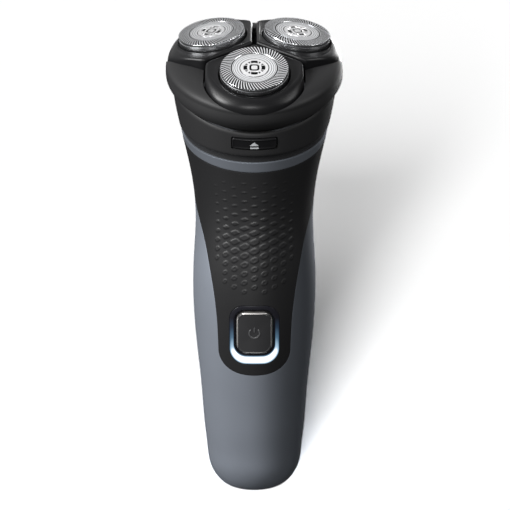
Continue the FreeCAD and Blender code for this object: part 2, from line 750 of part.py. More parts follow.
def make_drives():
    """Drive gear and spindle of each head."""
    for index, head in enumerate(HEADS):
        frame = head_frame(index)
        centre = Vector(0, -size("drive_radius"), 0)
        place = frame * Placement(centre + Vector(0, 0, -DRIVE_DEPTH), Rotation())
        wheel = gear(f"drive_gear_{head}", DRIVE_TEETH, size("gear_module"),
                     90 + 180 / DRIVE_TEETH, place, DRIVE_THICK, size("spindle_radius"))
        node(wheel, f"drive_gear_{head}")
        spindle = rod(f"drive_spindle_{head}", "Sizes.spindle_radius",
                      f"{SPINDLE_FOOT} - Sizes.spindle_top",
                      centre + Vector(0, 0, -SPINDLE_FOOT), frame)
        node(spindle, f"drive_spindle_{head}")


def screw_places():
    """Three screws between the drive gears, all at one distance from the unit axis."""
    angles = [math.radians(90 + 120 * turn) for turn in range(3)]
    return [Vector(math.cos(a), math.sin(a), 0) * SCREW_REACH for a in angles]


def make_gear_plates():
    """Gear plate with its bearing posts, gear cover, the screws and the seal."""
    frame = unit_frame()
    core = handle_volume("handle_core", "(Sizes.wall + Sizes.fit)", INNER_FIRST)
    top, thick = size("gear_plate_top"), size("gear_plate_thick")
    plate = common("plate_plain", core, unit_slab("plate_slab", top, top + thick))
    posts, bores = [], []
    for index in range(3):
        place = Vector(0, -size("drive_radius"), -top)
        posts.append(rod(f"post_{index}", "1.9", "3", place, head_frame(index)))
        bores.append(rod(f"post_bore_{index}", "Sizes.spindle_radius + Sizes.run", "6",
                         place, head_frame(index)))
    for index, place in enumerate(screw_places()):
        bores.append(rod(f"plate_hole_{index}", SCREW_HOLE, "4",
                         place + Vector(0, 0, -top - 2.5), frame))
    bores.append(rod("plate_axle_hole", "Sizes.spindle_radius", "4", Vector(0, 0, -top - 1), frame))
    bores.append(rod("plate_shaft_hole", "1.6", "6", Vector(0, -size("motor_offset"), -top - 3),
                     frame))
    node(cut("gear_plate", fuse("plate_posts", plate, *posts), *bores), "gear_plate")
    make_gear_cover(core, frame)
    make_cover_screws(frame)


def make_gear_cover(core, frame):
    """Lid of the handle, with three spindle holes and a slot for the latch tongue."""
    top = size("neck_top") + size("cover_drop")
    low = top + size("cover_thick")
    plain = common("cover_plain", core, unit_slab("cover_slab", top, low))
    holes = [rod(f"cover_hole_{index}", "Sizes.spindle_radius + 0.3", "8",
                 Vector(0, -size("drive_radius"), -low - 2), head_frame(index))
             for index in range(3)]
    holes += [rod(f"screw_hole_{index}", SCREW_HOLE, "8", place + Vector(0, 0, -low - 2), frame)
              for index, place in enumerate(screw_places())]
    holes.append(rod("axle_hole", "Sizes.spindle_radius", "2", Vector(0, 0, -low - 1), frame))
    holes.append(block("tongue_slot", ("6.4", "3.6", "8"), Vector(0, -26.9, -low), frame))
    holes.append(button_room("cover_button_room"))
    node(cut("gear_cover", plain, *holes), "gear_cover")
    lip = common("lip_plain", core, unit_slab("lip_slab", low, low + 1))
    inside = handle_volume("seal_inside", "(Sizes.wall + Sizes.fit + 1.2)", INNER_FIRST)
    node(cut("neck_seal", lip, inside, button_room("seal_button_room")), "neck_seal")


def button_room(name):
    """The space behind the release button that it is pressed into."""
    sides = ("Sizes.release_width + 0.8", "4", "8")
    middle = (size("release_top") + size("release_low")) / 2
    return block(name, sides, Vector(0, -size("release_back") - 0.6, -middle), unit_frame())


def make_cover_screws(frame):
    """Screws that hold cover and gear plate together: shank and flat head."""
    top = size("neck_top") + size("cover_drop")
    screws = []
    for index, place in enumerate(screw_places()):
        shank = rod(f"shank_{index}", "1", "9.9", place + Vector(0, 0, -top - 9.9), frame)
        head = rod(f"screw_head_{index}", "1.9", "0.4", place + Vector(0, 0, -top), frame)
        screws.append(fuse(f"cover_screw_{index}", shank, head))
    node(group("cover_screws", *screws), "cover_screws")


# ---------------------------------------------------------------- shaving unit


# A sector's sides run at 30 degrees to the X axis, out to this distance.
SECTOR_DROP = 20.0
SECTOR_WIDE = round(SECTOR_DROP * math.sqrt(3), 2)
STUB_RADIUS = 0.7
POST_ACROSS = 16.7


def sector(name, index, gap):
    """The third of the unit that belongs to one head, drawn in from the groove."""
    body = doc.addObject("PartDesign::Body", name)
    apex = f"{-1 / math.sqrt(3)} * {gap}"
    corners = (("0", apex), (str(SECTOR_WIDE), f"{apex} - {SECTOR_DROP}"),
               (str(SECTOR_WIDE), "-60"), (str(-SECTOR_WIDE), "-60"),
               (str(-SECTOR_WIDE), f"{apex} - {SECTOR_DROP}"))
    sketch = outline_sketch(body, name + "_outline", "XY_Plane", corners)
    doc.recompute()
    pad = body.newObject("PartDesign::Pad", name + "_pad")
    pad.Profile = sketch
    pad.Length = 60
    pad.Midplane = True
    body.Placement = head_frame(index)
    doc.recompute()
    return body


def pocket_block(name, index, extra, depth):
    """Plan of a head pocket: round outside, straight sides towards the middle."""
    frame = head_frame(index)
    radius = f"Sizes.petal_radius + {extra}"
    reach = size("head_radius")
    disc = rod(name + "_disc", radius, f"{depth} + 4", Vector(0, -reach, -depth), frame)
    sides = block(name + "_sides", (f"2 * ({radius})", str(reach), f"{depth} + 4"),
                  Vector(0, -reach / 2, (4 - depth) / 2), frame)
    return fuse(name, disc, sides)


def make_petals(envelope):
    """Head pockets: each a tilted plate with a seat for its cap and two pivot stubs."""
    depth = size("petal_floor")
    for index, head in enumerate(HEADS):
        name = f"petal_{head}"
        plan = pocket_block(f"{name}_plan", index, "0", depth)
        third = sector(f"{name}_sector", index, "groove")
        lid = slab(f"{name}_lid", -60, -size("cap_stand"), cap_frame(index))
        plate = common(f"{name}_plate", envelope, plan, third, lid)
        frame = cap_frame(index)
        seat_floor = Vector(0, 0, -size("cap_height") - 0.05)
        seat = rod(f"{name}_seat", "Sizes.cap_radius + 0.3", "20", seat_floor, frame)
        well = rod(f"{name}_well", "Sizes.cap_radius - 0.85", "40", Vector(0, 0, -25), frame)
        ring = cut(f"{name}_ring", plate, seat, well)
        height = Vector(0, -size("head_radius"), -size("pivot_depth"))
        stubs = [rod(f"{name}_stub_{side}", str(STUB_RADIUS), "2.4",
                     height + Vector(side * 14.9, 0, 0), head_frame(index), X_AXIS * side)
                 for side in (-1, 1)]
        node(fuse(name, ring, *stubs), name)


def make_skirt(envelope, hollow):
    """Outer shell of the shaving unit, with its hinge lugs and latch tongue."""
    frame = unit_frame()
    low, top = size("skirt_floor"), size("skirt_top")
    body = common("skirt_body", envelope, unit_slab("skirt_slab", top, low))
    back, drop = size("hinge_back"), size("hinge_drop")
    lugs, bores = [], []
    start = size("neck_lug_width") / 2 + size("lug_gap")
    middle, bridge_height = start + size("unit_lug_width") / 2, 6.2
    for side in (-1, 1):
        foot = Vector(side * start, back, -drop)
        lugs.append(rod(f"unit_lug_{side}", "Sizes.hinge_lug", "Sizes.unit_lug_width", foot,
                        frame, X_AXIS * side))
        lugs.append(block(f"unit_bridge_{side}",
                          ("Sizes.unit_lug_width", "3.2", str(bridge_height)),
                          Vector(side * middle, back + 0.1, bridge_height / 2 - drop), frame))
        bores.append(rod(f"unit_bore_{side}", "Sizes.hinge_pin_radius + Sizes.run", "6",
                         foot, frame, X_AXIS * side))
    tools = [hollow] + bores
    for index, head in enumerate(HEADS):
        gap = "Sizes.petal_gap"
        tools.append(pocket_block(f"skirt_pocket_{head}", index, gap, size("petal_floor") + 0.7))
    whole = fuse("skirt_whole", body, *lugs)
    node(cut("unit_skirt", whole, *tools), "unit_skirt")
    pin = rod("unit_hinge_pin", "Sizes.hinge_pin_radius", "Sizes.hinge_pin_length",
              Vector(-size("hinge_pin_length") / 2, back, -drop), frame, X_AXIS)
    node(pin, "unit_hinge_pin")


def make_unit_inside(hollow_core):
    """Hair chamber floor with the latch tongue, and the retaining frame."""
    frame = unit_frame()
    floor = common("chamber_plain", hollow_core, unit_slab("chamber_slab", 14.0, 15.2))
    tongue = block("latch_tongue", ("5", "1", "6"), Vector(0, -26.7, -17.0), frame)
    holes = [rod(f"chamber_hole_{index}", "3.7", "6", Vector(0, -size("drive_radius"), -18),
                 head_frame(index)) for index in range(3)]
    solid_floor = cut("chamber_floor", floor, *holes)
    node(fuse("hair_chamber", solid_floor, tongue), "hair_chamber")
    plate = common("retaining_plain", hollow_core, unit_slab("retaining_slab", 10.6, 12.2))
    holes = [rod(f"retaining_hole_{index}", "9.6", "6", Vector(0, -size("head_radius"), -14),
                 head_frame(index)) for index in range(3)]
    posts, bores = [], []
    for index in range(3):
        for side in (-1, 1):
            place = Vector(side * POST_ACROSS, -size("head_radius"), -8.5)
            posts.append(block(f"pivot_post_{index}_{side}", ("1.4", "2.4", "4.6"), place,
                               head_frame(index)))
            foot = Vector(side * 15, -size("head_radius"), -size("pivot_depth"))
            bores.append(rod(f"pivot_bore_{index}_{side}", f"{STUB_RADIUS} + Sizes.run", "4", foot,
                             head_frame(index), X_AXIS * side))
    ring = cut("retaining_ring", plate, *holes)
    node(cut("retaining_frame", fuse("retaining_solid", ring, *posts), *bores), "retaining_frame")


def make_caps():
    """Shaving cap, its hub disc and the cutter that turns under it, for each head."""
    cap = (
        ("0", "-0.9"), ("cap_radius - 0.95", "-0.9"),
        ("cap_radius - 0.95", "-1 * cap_height"), ("cap_radius", "-1 * cap_height"),
        ("cap_radius", "-0.4"), ("cap_radius - 0.4", "0"), ("0.7 * cap_radius", "0"),
        ("0.68 * cap_radius", "-0.25"), ("0", "-0.25"),
    )
    hub = (("0", "-0.25"), ("hub_radius", "-0.25"), ("hub_radius", "0.05"),
           ("hub_radius - 0.2", "0.15"), ("0", "0.15"))
    cutter = (
        ("0", "-1.05"), ("cap_radius - 1.55", "-1.05"), ("cap_radius - 1.55", "-2.3"),
        ("4", "-2.3"), ("3.6", "-8"), ("2.5", "-8"), ("2.5", "-6.2"), ("0", "-6.2"),
    )
    for index, head in enumerate(HEADS):
        frame = cap_frame(index)
        node(turned(f"shaving_cap_{head}", cap, frame), f"shaving_cap_{head}")
        node(turned(f"cap_hub_{head}", hub, frame), f"cap_hub_{head}")
        node(turned(f"cutter_{head}", cutter, frame), f"cutter_{head}")


def make_shaving_unit():
    """Everything that opens with the unit, except what turns."""
    envelope = unit_volume("unit_envelope", 0, ENVELOPE)
    inner_rings = ((20.0,) + ENVELOPE[0][1:],) + ENVELOPE[:3] + ((5.8, 28.2, 1.9, 0.2),)
    hollow = unit_volume("unit_hollow", size("wall"), inner_rings)
    core = unit_volume("unit_core", size("wall") + size("fit"), inner_rings)
    make_petals(envelope)
    make_skirt(envelope, hollow)
    make_unit_inside(core)
    make_caps()


# ---------------------------------------------------------------- pop-up trimmer


def make_trimmer(outer):
    """Trimmer arm in the back, with comb, moving blade, pivot pin and slide switch."""
    low, high = size("trimmer_low"), size("trimmer_high")
    front = size("trimmer_front")
    plain = block("arm_block", ("Sizes.trimmer_width", "10",
                  "Sizes.trimmer_high - Sizes.trimmer_low"), at(0, front + 5, (low + high) / 2))
    flush = common("arm_flush", plain, outer)
    foot = at(-15, size("trimmer_pivot_back"), size("trimmer_pivot"))
    bore = rod("arm_bore", "Sizes.trimmer_pin_radius + Sizes.run", "30", foot, None, X_AXIS)
    node(cut("trimmer_arm", flush, bore), "trimmer_arm")
    node(trimmer_pin_rod("trimmer_pin"), "trimmer_pin")
    count = 12
    node(make_teeth("trimmer_comb", 17.9, 0.6, 2.9, count, high), "trimmer_comb")
    node(make_teeth("trimmer_blade", 17.2, 0.5, 2.3, count, high), "trimmer_blade")
    make_trimmer_well()
    make_trimmer_switch()


def make_teeth(name, back, thick, length, count, height):
    """A thin toothed plate that stands on the upper end of the trimmer arm."""
    pitch = 1.2
    span = pitch * (count - 1)
    parts = [block(f"{name}_bar", (str(span + 0.6), str(thick), "1"), at(0, back, height + 0.5))]
    for tooth in range(count):
        place = at(-span / 2 + tooth * pitch, back, height + length / 2)
        parts.append(block(f"{name}_tooth_{tooth}", ("0.6", str(thick), str(length)), place))
    return fuse(name, *parts)


def make_trimmer_well():
    """The tray that closes the bay behind the trimmer."""
    low, high = size("trimmer_bay_low"), size("trimmer_bay_high")
    place = at(0, size("trimmer_front") - 1.5, (low + high) / 2)
    tray = block("trimmer_well", ("Sizes.trimmer_width + 3", "0.9",
                 "Sizes.trimmer_bay_high - Sizes.trimmer_bay_low + 2"), place)
    node(tray, "trimmer_well")


def make_trimmer_switch():
    """Slide switch under the trimmer: a ridged pad on a stem through the slot."""
    back, centre = size("slider_back"), size("slider_centre")
    pad = block("switch_pad", ("Sizes.slider_width", "Sizes.slider_thick", "Sizes.slider_height"),
                at(0, back, centre))
    stem = block("switch_stem", ("4", "5", "7"), at(0, back - 2.7, centre))
    pitch, count = 1.2, 5
    ridges = [block(f"switch_ridge_{row}", ("8", "0.5", "0.6"),
                    at(0, back + 1, centre + pitch * (row - count // 2)))
              for row in range(count)]
    node(fuse("trimmer_switch", pad, stem, *ridges), "trimmer_switch")


# ---------------------------------------------------------------- check and write


def check_all():
    """Stops if any object failed or any sub-part is empty or not valid."""
    doc.recompute()
    for thing in doc.Objects:
        bad = [word for word in thing.State if word in ("Invalid", "Error")]
        if bad:
            raise RuntimeError(f"{thing.Label}: {bad}")
    for thing in nodes:
        shape = thing.Shape
        if shape.isNull() or not shape.isValid() or shape.Volume <= 0:
            raise RuntimeError(f"{thing.Label}: empty or not valid")


def write_parts():
    """One STEP file for each sub-part."""
    os.makedirs("parts", exist_ok=True)
    for thing in nodes:
        thing.Shape.exportStep(f"parts/{thing.Label}.step")
        box = thing.Shape.BoundBox
        print(f"{thing.Label:22s} volume {thing.Shape.Volume:9.1f} solids {len(thing.Shape.Solids)}"
              f"  y {box.YMin:6.1f} {box.YMax:6.1f}  z {box.ZMin:6.1f} {box.ZMax:6.1f}")


fill_sheet()
handle_outer = make_handle_shells()
make_power_button()
make_release_button()
make_frame_and_battery()
make_board()
make_inlet()
make_motor()
make_centre_gear()
make_drives()
make_gear_plates()
make_shaving_unit()
make_trimmer(handle_outer)
check_all()
write_parts()
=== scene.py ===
# %% [markdown]
# # An electric shaver with three rotary heads
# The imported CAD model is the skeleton: every body, axle and button is already in its
# place and knows how it moves. The cells below dress it. Where a CAD part already has
# its real shape it only gets a finish. Where the eye expects soft edges, a texture or
# fine slots, a new surface is worked out with numpy and rides on the same body.

# %% Load the frame
import json
import math

import bmesh
import bpy
import numpy as np
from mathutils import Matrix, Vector

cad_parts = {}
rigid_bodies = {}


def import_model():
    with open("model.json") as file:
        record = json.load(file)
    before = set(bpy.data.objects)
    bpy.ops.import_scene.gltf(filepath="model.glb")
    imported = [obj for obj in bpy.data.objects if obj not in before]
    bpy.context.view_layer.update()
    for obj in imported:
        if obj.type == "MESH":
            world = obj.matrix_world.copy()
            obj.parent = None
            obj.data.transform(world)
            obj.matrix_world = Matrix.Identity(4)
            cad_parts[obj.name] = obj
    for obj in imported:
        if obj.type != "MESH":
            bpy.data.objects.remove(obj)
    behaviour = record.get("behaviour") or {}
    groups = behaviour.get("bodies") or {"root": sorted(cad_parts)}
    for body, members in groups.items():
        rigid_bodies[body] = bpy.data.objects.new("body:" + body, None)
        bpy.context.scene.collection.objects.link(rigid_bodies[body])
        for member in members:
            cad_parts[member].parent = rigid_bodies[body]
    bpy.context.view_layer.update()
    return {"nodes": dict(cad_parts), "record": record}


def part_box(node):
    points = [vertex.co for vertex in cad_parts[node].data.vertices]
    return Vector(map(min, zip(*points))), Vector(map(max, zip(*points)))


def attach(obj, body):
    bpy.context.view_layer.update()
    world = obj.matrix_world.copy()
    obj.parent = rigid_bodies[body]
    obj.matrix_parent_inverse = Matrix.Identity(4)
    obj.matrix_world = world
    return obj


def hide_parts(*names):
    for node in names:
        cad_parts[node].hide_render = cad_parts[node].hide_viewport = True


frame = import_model()

# %% [markdown]
# ## Units and places
# The shapes below are thought out in millimetres, as on a drawing, and turned into
# metres only when a mesh is made. A frame is a 4 by 4 matrix that turns and moves
# points. The CAD tells where each of its parts lies, so few places are typed in.

# %% Millimetres and matrices
MM = 0.001


def box_mm(node):
    """Lowest and highest corner of a CAD part, in millimetres."""
    low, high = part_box(node)
    return np.array(low) / MM, np.array(high) / MM


def half_and_middle(node):
    """Half the size and the middle of a CAD part's box, in millimetres."""
    low, high = box_mm(node)
    return (high - low) / 2, (high + low) / 2


def turn(axis, angle):
    """Matrix that turns about X or Z: cosine and sine in the two rows of the others."""
    c, s = math.cos(angle), math.sin(angle)
    matrix = np.eye(4)
    first, second = {"X": (1, 2), "Z": (0, 1)}[axis]
    matrix[first, first], matrix[first, second] = c, -s
    matrix[second, first], matrix[second, second] = s, c
    return matrix


def shift(x, y, z):
    """Matrix that moves along the three axes."""
    matrix = np.eye(4)
    matrix[:3, 3] = x, y, z
    return matrix


def placed(matrix, points):
    """Points of a frame as points of the whole part."""
    return points @ matrix[:3, :3].T + matrix[:3, 3]


print("the light ring is", np.round(2 * half_and_middle("light_ring")[0], 2), "mm")

# %% [markdown]
# ## The frames of the heads
# The shaving unit leans forward, so its pieces are easier to describe in a frame of
# their own. The three hub discs give its middle, and the plane through them gives its
# axis. Each head has that frame turned by a third, and each cap leans out a little more.

# %% Frames of the shaving unit
HEADS = ("front", "right", "left")
CAP_LEAN = math.radians(9.5)
hubs = np.array([half_and_middle(f"cap_hub_{head}")[1] for head in HEADS])
unit_origin = hubs.mean(0)
unit_x = (hubs[1] - hubs[2]) / np.linalg.norm(hubs[1] - hubs[2])
unit_z = np.cross(unit_x, hubs[1:].mean(0) - hubs[0])
unit_z /= np.linalg.norm(unit_z)
UNIT = np.eye(4)
UNIT[:3, :3] = np.stack([unit_x, np.cross(unit_z, unit_x), unit_z], 1)
UNIT[:3, 3] = unit_origin
HEAD_RADIUS = float(np.linalg.norm(hubs[0] - unit_origin))
THIRD_TURN = 2 * math.pi / 3
HEAD_FRAMES = [UNIT @ turn("Z", THIRD_TURN * index) for index in range(3)]
CAP_IN_HEAD = shift(0, -HEAD_RADIUS, 0) @ turn("X", CAP_LEAN)
CAP_FRAMES = [head @ CAP_IN_HEAD for head in HEAD_FRAMES]
unit_tilt = math.degrees(math.atan2(-unit_z[1], unit_z[2]))
print(f"unit leans {unit_tilt:.2f} degrees, cap centres {HEAD_RADIUS:.2f} mm from its axis")

# %% [markdown]
# ## From arrays to meshes
# Every new surface is a grid of points: rows run one way over the piece and columns
# the other way. One helper turns such a grid into faces, and can close it round either
# way. Poles and seams then have doubled points, which are merged.

# %% Grids to meshes
DOUBLES = 1e-6


def grid_faces(rows, columns, wrap_rows=False, wrap_columns=False):
    """Quads between neighbouring rows and columns: corner i,j is number i * columns + j."""
    i = np.arange(rows if wrap_rows else rows - 1)[:, None]
    j = np.arange(columns if wrap_columns else columns - 1)[None, :]
    i2, j2 = (i + 1) % rows, (j + 1) % columns
    quads = [i * columns + j, i * columns + j2, i2 * columns + j2, i2 * columns + j]
    return np.stack(np.broadcast_arrays(*quads), -1).reshape(-1, 4)


def new_piece(name, points, faces, closed=True):
    """A mesh object from points in millimetres, doubles merged, faces turned outwards."""
    mesh = bpy.data.meshes.new(name)
    mesh.from_pydata((points.reshape(-1, 3) * MM).tolist(), [], np.asarray(faces).tolist())
    mesh.update()
    work = bmesh.new()
    work.from_mesh(mesh)
    bmesh.ops.remove_doubles(work, verts=work.verts, dist=DOUBLES)
    bmesh.ops.dissolve_degenerate(work, edges=work.edges, dist=DOUBLES)
    if closed:
        bmesh.ops.recalc_face_normals(work, faces=work.faces)
    work.to_mesh(mesh)
    work.free()
    obj = bpy.data.objects.new(name, mesh)
    bpy.context.scene.collection.objects.link(obj)
    return obj


def grid_piece(name, points, wrap_rows=False, wrap_columns=True, closed=True):
    """A piece from a grid of points, rows by columns by three."""
    faces = grid_faces(*points.shape[:2], wrap_rows, wrap_columns)
    return new_piece(name, points, faces, closed)


def join_grids(name, grids, closed=True):
    """Several grids, each (points, wrap columns), as one mesh that shares its seams."""
    points, faces, count = [], [], 0
    for grid, wrap in grids:
        points.append(grid.reshape(-1, 3))
        faces.append(grid_faces(*grid.shape[:2], False, wrap) + count)
        count += len(points[-1])
    return new_piece(name, np.concatenate(points), np.concatenate(faces), closed)


def circle(count):
    """Angles of evenly spaced points, once round."""
    return np.linspace(0, 2 * math.pi, count, endpoint=False)


def polar(reach, angle, height):
    """Points at a distance and an angle about the Z axis, at a height."""
    return np.stack(np.broadcast_arrays(reach * np.cos(angle), reach * np.sin(angle), height), -1)


def points_of(mesh):
    """All points of a mesh in millimetres, one row each."""
    flat = np.zeros(len(mesh.vertices) * 3)
    mesh.vertices.foreach_get("co", flat)
    return flat.reshape(-1, 3) / MM


def point_number(mesh, name, values):
    """Stores one number per point, which a finish can read by its name."""
    numbers = mesh.attributes.new(name, "FLOAT", "POINT")
    numbers.data.foreach_set("value", values.astype(np.float32))


print("a tube of 3 rows and 4 columns has", len(grid_faces(3, 4, wrap_columns=True)), "faces")

# %% [markdown]
# ## Walls and cuts
# Modifiers give a surface its wall, round the rims and cut openings. They are applied at
# once, so that every later step sees the finished mesh.

# %% Modifiers
WALL, WALL_EDGE = 1.5, 0.16


def modify(obj, kind, **settings):
    """Adds a modifier with its settings."""
    modifier = obj.modifiers.new(kind.title(), kind)
    for key, setting in settings.items():
        setattr(modifier, key, setting)


def thicken(obj, wall, edge=0.0):
    """Gives a surface a wall towards the inside, and rounds the rims of that wall."""
    modify(obj, "SOLIDIFY", thickness=wall * MM, offset=-1)
    if edge:
        modify(obj, "BEVEL", width=edge * MM, segments=2, limit_method="ANGLE",
               angle_limit=math.radians(50))
    settle(obj)


def settle(obj):
    """Applies all modifiers, so that the mesh that follows is the finished one."""
    bpy.context.view_layer.update()
    graph = bpy.context.evaluated_depsgraph_get()
    mesh = bpy.data.meshes.new_from_object(obj.evaluated_get(graph))
    obj.modifiers.clear()
    obj.data = mesh


def carve(obj, *cutters):
    """Takes closed cutters out of a closed piece, and removes the cutters."""
    for cutter in cutters:
        modify(obj, "BOOLEAN", operation="DIFFERENCE", solver="EXACT", object=cutter)
        settle(obj)
        bpy.data.objects.remove(cutter)


# %% [markdown]
# ## Crisp edges and bodies
# A moulded part is smooth where it is rounded and crisp where two faces meet. Shading is
# smooth everywhere but over the sharp edges. Then the piece gets its finish, the body
# that it moves with and the CAD part that it stands for.

# %% Shading and bodies
def shade(obj, crisp):
    """Smooth shading, except over edges sharper than the crisp angle, in degrees."""
    work = bmesh.new()
    work.from_mesh(obj.data)
    for face in work.faces:
        face.smooth = True
    for edge in work.edges:
        edge.smooth = not edge.is_manifold or edge.calc_face_angle(0) < math.radians(crisp)
    work.to_mesh(obj.data)
    work.free()


pieces = {}


def dress(obj, body, materials, replaces=None, crisp=32):
    """Shading, finish, body, slot and the CAD part that the piece stands for."""
    shade(obj, crisp)
    for material in materials if isinstance(materials, list) else [materials]:
        obj.data.materials.append(material)
    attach(obj, body)
    if replaces:
        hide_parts(replaces)
    pieces[obj.name] = obj
    obj.data.calc_loop_triangles()
    print(f"{obj.name}: {len(obj.data.loop_triangles)} triangles on {body}")


# %% [markdown]
# ## Smooth curves through a few stations
# The handle has no single formula: it is known at a handful of heights. A natural
# cubic spline is the curve that a thin steel strip takes through such stations, so
# highlights run over it without a break.

# %% Spline
def strip_through(knots, values, x):
    """Natural cubic spline: the bend is straight between knots and zero at both ends."""
    knots, values = np.asarray(knots, float), np.asarray(values, float)
    values = values.reshape(len(knots), -1)
    gap = np.diff(knots)
    slope = np.diff(values, axis=0) / gap[:, None]
    inner = np.arange(1, len(knots) - 1)
    system, bend = np.eye(len(knots)), np.zeros_like(values)
    system[inner, inner - 1] = gap[:-1]
    system[inner, inner] = 2 * (gap[:-1] + gap[1:])
    system[inner, inner + 1] = gap[1:]
    bend[inner] = 6 * (slope[1:] - slope[:-1])
    bend = np.linalg.solve(system, bend)
    x = np.asarray(x, float)
    k = np.clip(np.searchsorted(knots, x.ravel()) - 1, 0, len(knots) - 2)
    left, right = x.ravel() - knots[k], knots[k + 1] - x.ravel()
    left, right, h = left[:, None], right[:, None], gap[k][:, None]
    curve = (bend[k] * right**3 + bend[k + 1] * left**3) / (6 * h)
    curve += (values[k] / h - bend[k] * h / 6) * right
    curve += (values[k + 1] / h - bend[k + 1] * h / 6) * left
    curve = curve.reshape(x.shape + (values.shape[1],))
    return curve[..., 0] if values.shape[1] == 1 else curve


quarter_way = strip_through((0, 1, 2), (0, 1, 0), 0.5)
print("a strip over 0, 1 and 0 has the height", round(float(quarter_way), 3), "a quarter along")


# %% [markdown]
# ## The form of the handle
# The handle is a stack of ellipses: a rounded foot, a slight belly for the palm, a
# waist under the fingers and a flare that carries the heads. The stations give the
# height, half width, half depth and how far the middle lies back.

# %% Handle surface
AXIS_Y = -2.0
END_ROUND, END_FLAT = 14.0, 0.42
HANDLE = np.array([
    (14.0, 16.7, 14.5, 0.0), (24.0, 17.7, 15.6, 0.0), (37.0, 18.6, 16.8, 0.0),
    (54.0, 20.2, 18.6, 0.0), (68.0, 21.1, 19.6, 0.0), (84.0, 20.9, 19.8, 0.0),
    (99.0, 20.1, 19.6, 0.1), (113.0, 21.3, 20.9, 0.3), (127.0, 24.3, 23.6, 0.7),
    (140.0, 27.0, 26.0, 1.2), (156.0, 28.4, 27.2, 1.6),
])
foot_steps = np.array([0.0, 0.04, 0.14, 0.32, 0.6])
foot_share = END_FLAT + (1 - END_FLAT) * np.sqrt(1 - (1 - foot_steps) ** 2)
foot = np.stack([foot_steps * END_ROUND, HANDLE[0, 1] * foot_share,
                 HANDLE[0, 2] * foot_share, 0 * foot_share], 1)
stations = np.concatenate([foot, HANDLE])
chord = np.concatenate([[0], np.cumsum(np.hypot(*np.diff(stations[:, :2], axis=0).T))])
fine = strip_through(chord, stations, np.linspace(0, chord[-1], 4000))
fine[:, 0] = np.maximum.accumulate(fine[:, 0]) + np.arange(len(fine)) * 1e-9


def section(z, inset=0.0):
    """Half width, half depth and middle of the ellipse at a height."""
    wide, deep, back = (np.interp(z, fine[:, 0], fine[:, k]) for k in (1, 2, 3))
    return wide - inset, deep - inset, back + AXIS_Y


def on_handle(angle, z, inset=0.0):
    """Point on the handle: angle 0 is the front, a quarter turn is the right side."""
    wide, deep, back = section(z, inset)
    angle, z = np.broadcast_arrays(angle, z)
    return np.stack([wide * np.sin(angle), back - deep * np.cos(angle), z], -1)


print("handle half width at mid height", round(float(section(80.0)[0]), 2), "mm")

# %% [markdown]
# ## Front, back and tilted planes
# Many pieces need the place of the handle's front or back at a given spot, which the
# ellipse's own equation gives. The grey band is cut by tilted planes, where height and
# depth follow one another, so the answer is found by going round a few times.

# %% On the handle
def middle_and_depth(x, z):
    """The ellipse's own equation: its middle, and half its depth at a place across."""
    wide, deep, back = section(z)
    return back, deep * np.sqrt(np.maximum(1 - (x / wide) ** 2, 0))


def in_front(x, z, proud=0.0):
    """Where the handle's front lies, or what stands proud of it."""
    back, deep = middle_and_depth(x, z)
    return back - deep - proud


def behind(x, z, proud=0.0):
    """Where the handle's back lies, or what stands proud of it."""
    back, deep = middle_and_depth(x, z)
    return back + deep + proud


def laid_on(surface, x, z, proud=0.0):
    """Points across and up, each with the depth that a surface has there."""
    return np.stack(np.broadcast_arrays(x, surface(x, z, proud), z), -1)


def on_plane(angle, level, slope, start_y):
    """Height where the handle meets a tilted plane: height follows depth and depth
    follows height, so the guess is improved a dozen times."""
    z = np.full(np.shape(angle), float(level))
    for _ in range(12):
        z = level + (on_handle(angle, z)[..., 1] - start_y) * slope
    return z


print("handle from", round(float(in_front(0, 80.0)), 1), "to", round(float(behind(0, 80.0)), 1))

# %% [markdown]
# ## Plastics, paint and metals
# A moulded part is never one flat colour: its skin has a fine spark-eroded texture, the
# gloss varies where hands polish it, and the tone drifts a little over its length. Such
# finishes are small networks of nodes, and these five helpers keep them short to write.

# %% Node helpers
def nodes_of(name):
    """A new material, its node tree and the shader in it."""
    material = bpy.data.materials.new(name)
    material.use_nodes = True
    tree = material.node_tree
    return material, tree, tree.nodes["Principled BSDF"]


def give(node, **settings):
    """Sets properties or inputs of a node; a low line stands for a space in a name."""
    for key, setting in settings.items():
        if hasattr(node, key):
            setattr(node, key, setting)
        else:
            node.inputs[key.replace("_", " ")].default_value = setting
    return node


def add(tree, kind, **settings):
    """A new shader node with its settings."""
    return give(tree.nodes.new("ShaderNode" + kind), **settings)


def mix(tree, first, second):
    """Goes from one colour to another as its factor, input 0, goes from 0 to 1."""
    node = add(tree, "Mix", data_type="RGBA")
    node.inputs[6].default_value, node.inputs[7].default_value = (*first, 1), (*second, 1)
    return node


def wire(tree, *wires):
    """Joins sockets. A wire is a node, its output, the next node and that one's input."""
    for source, output, target, entry in wires:
        tree.links.new(source.outputs[output], target.inputs[entry])


# %% [markdown]
# ## One helper for all skins
# Two noise textures make a skin: a fine one for the relief, and a wide one for tone and
# gloss. Everything reads Object coordinates, so the grain keeps its real size on every
# part. Plastics, paints and plain metals differ only in their numbers.

# %% Finishes
WIDE_NOISE = 38.0


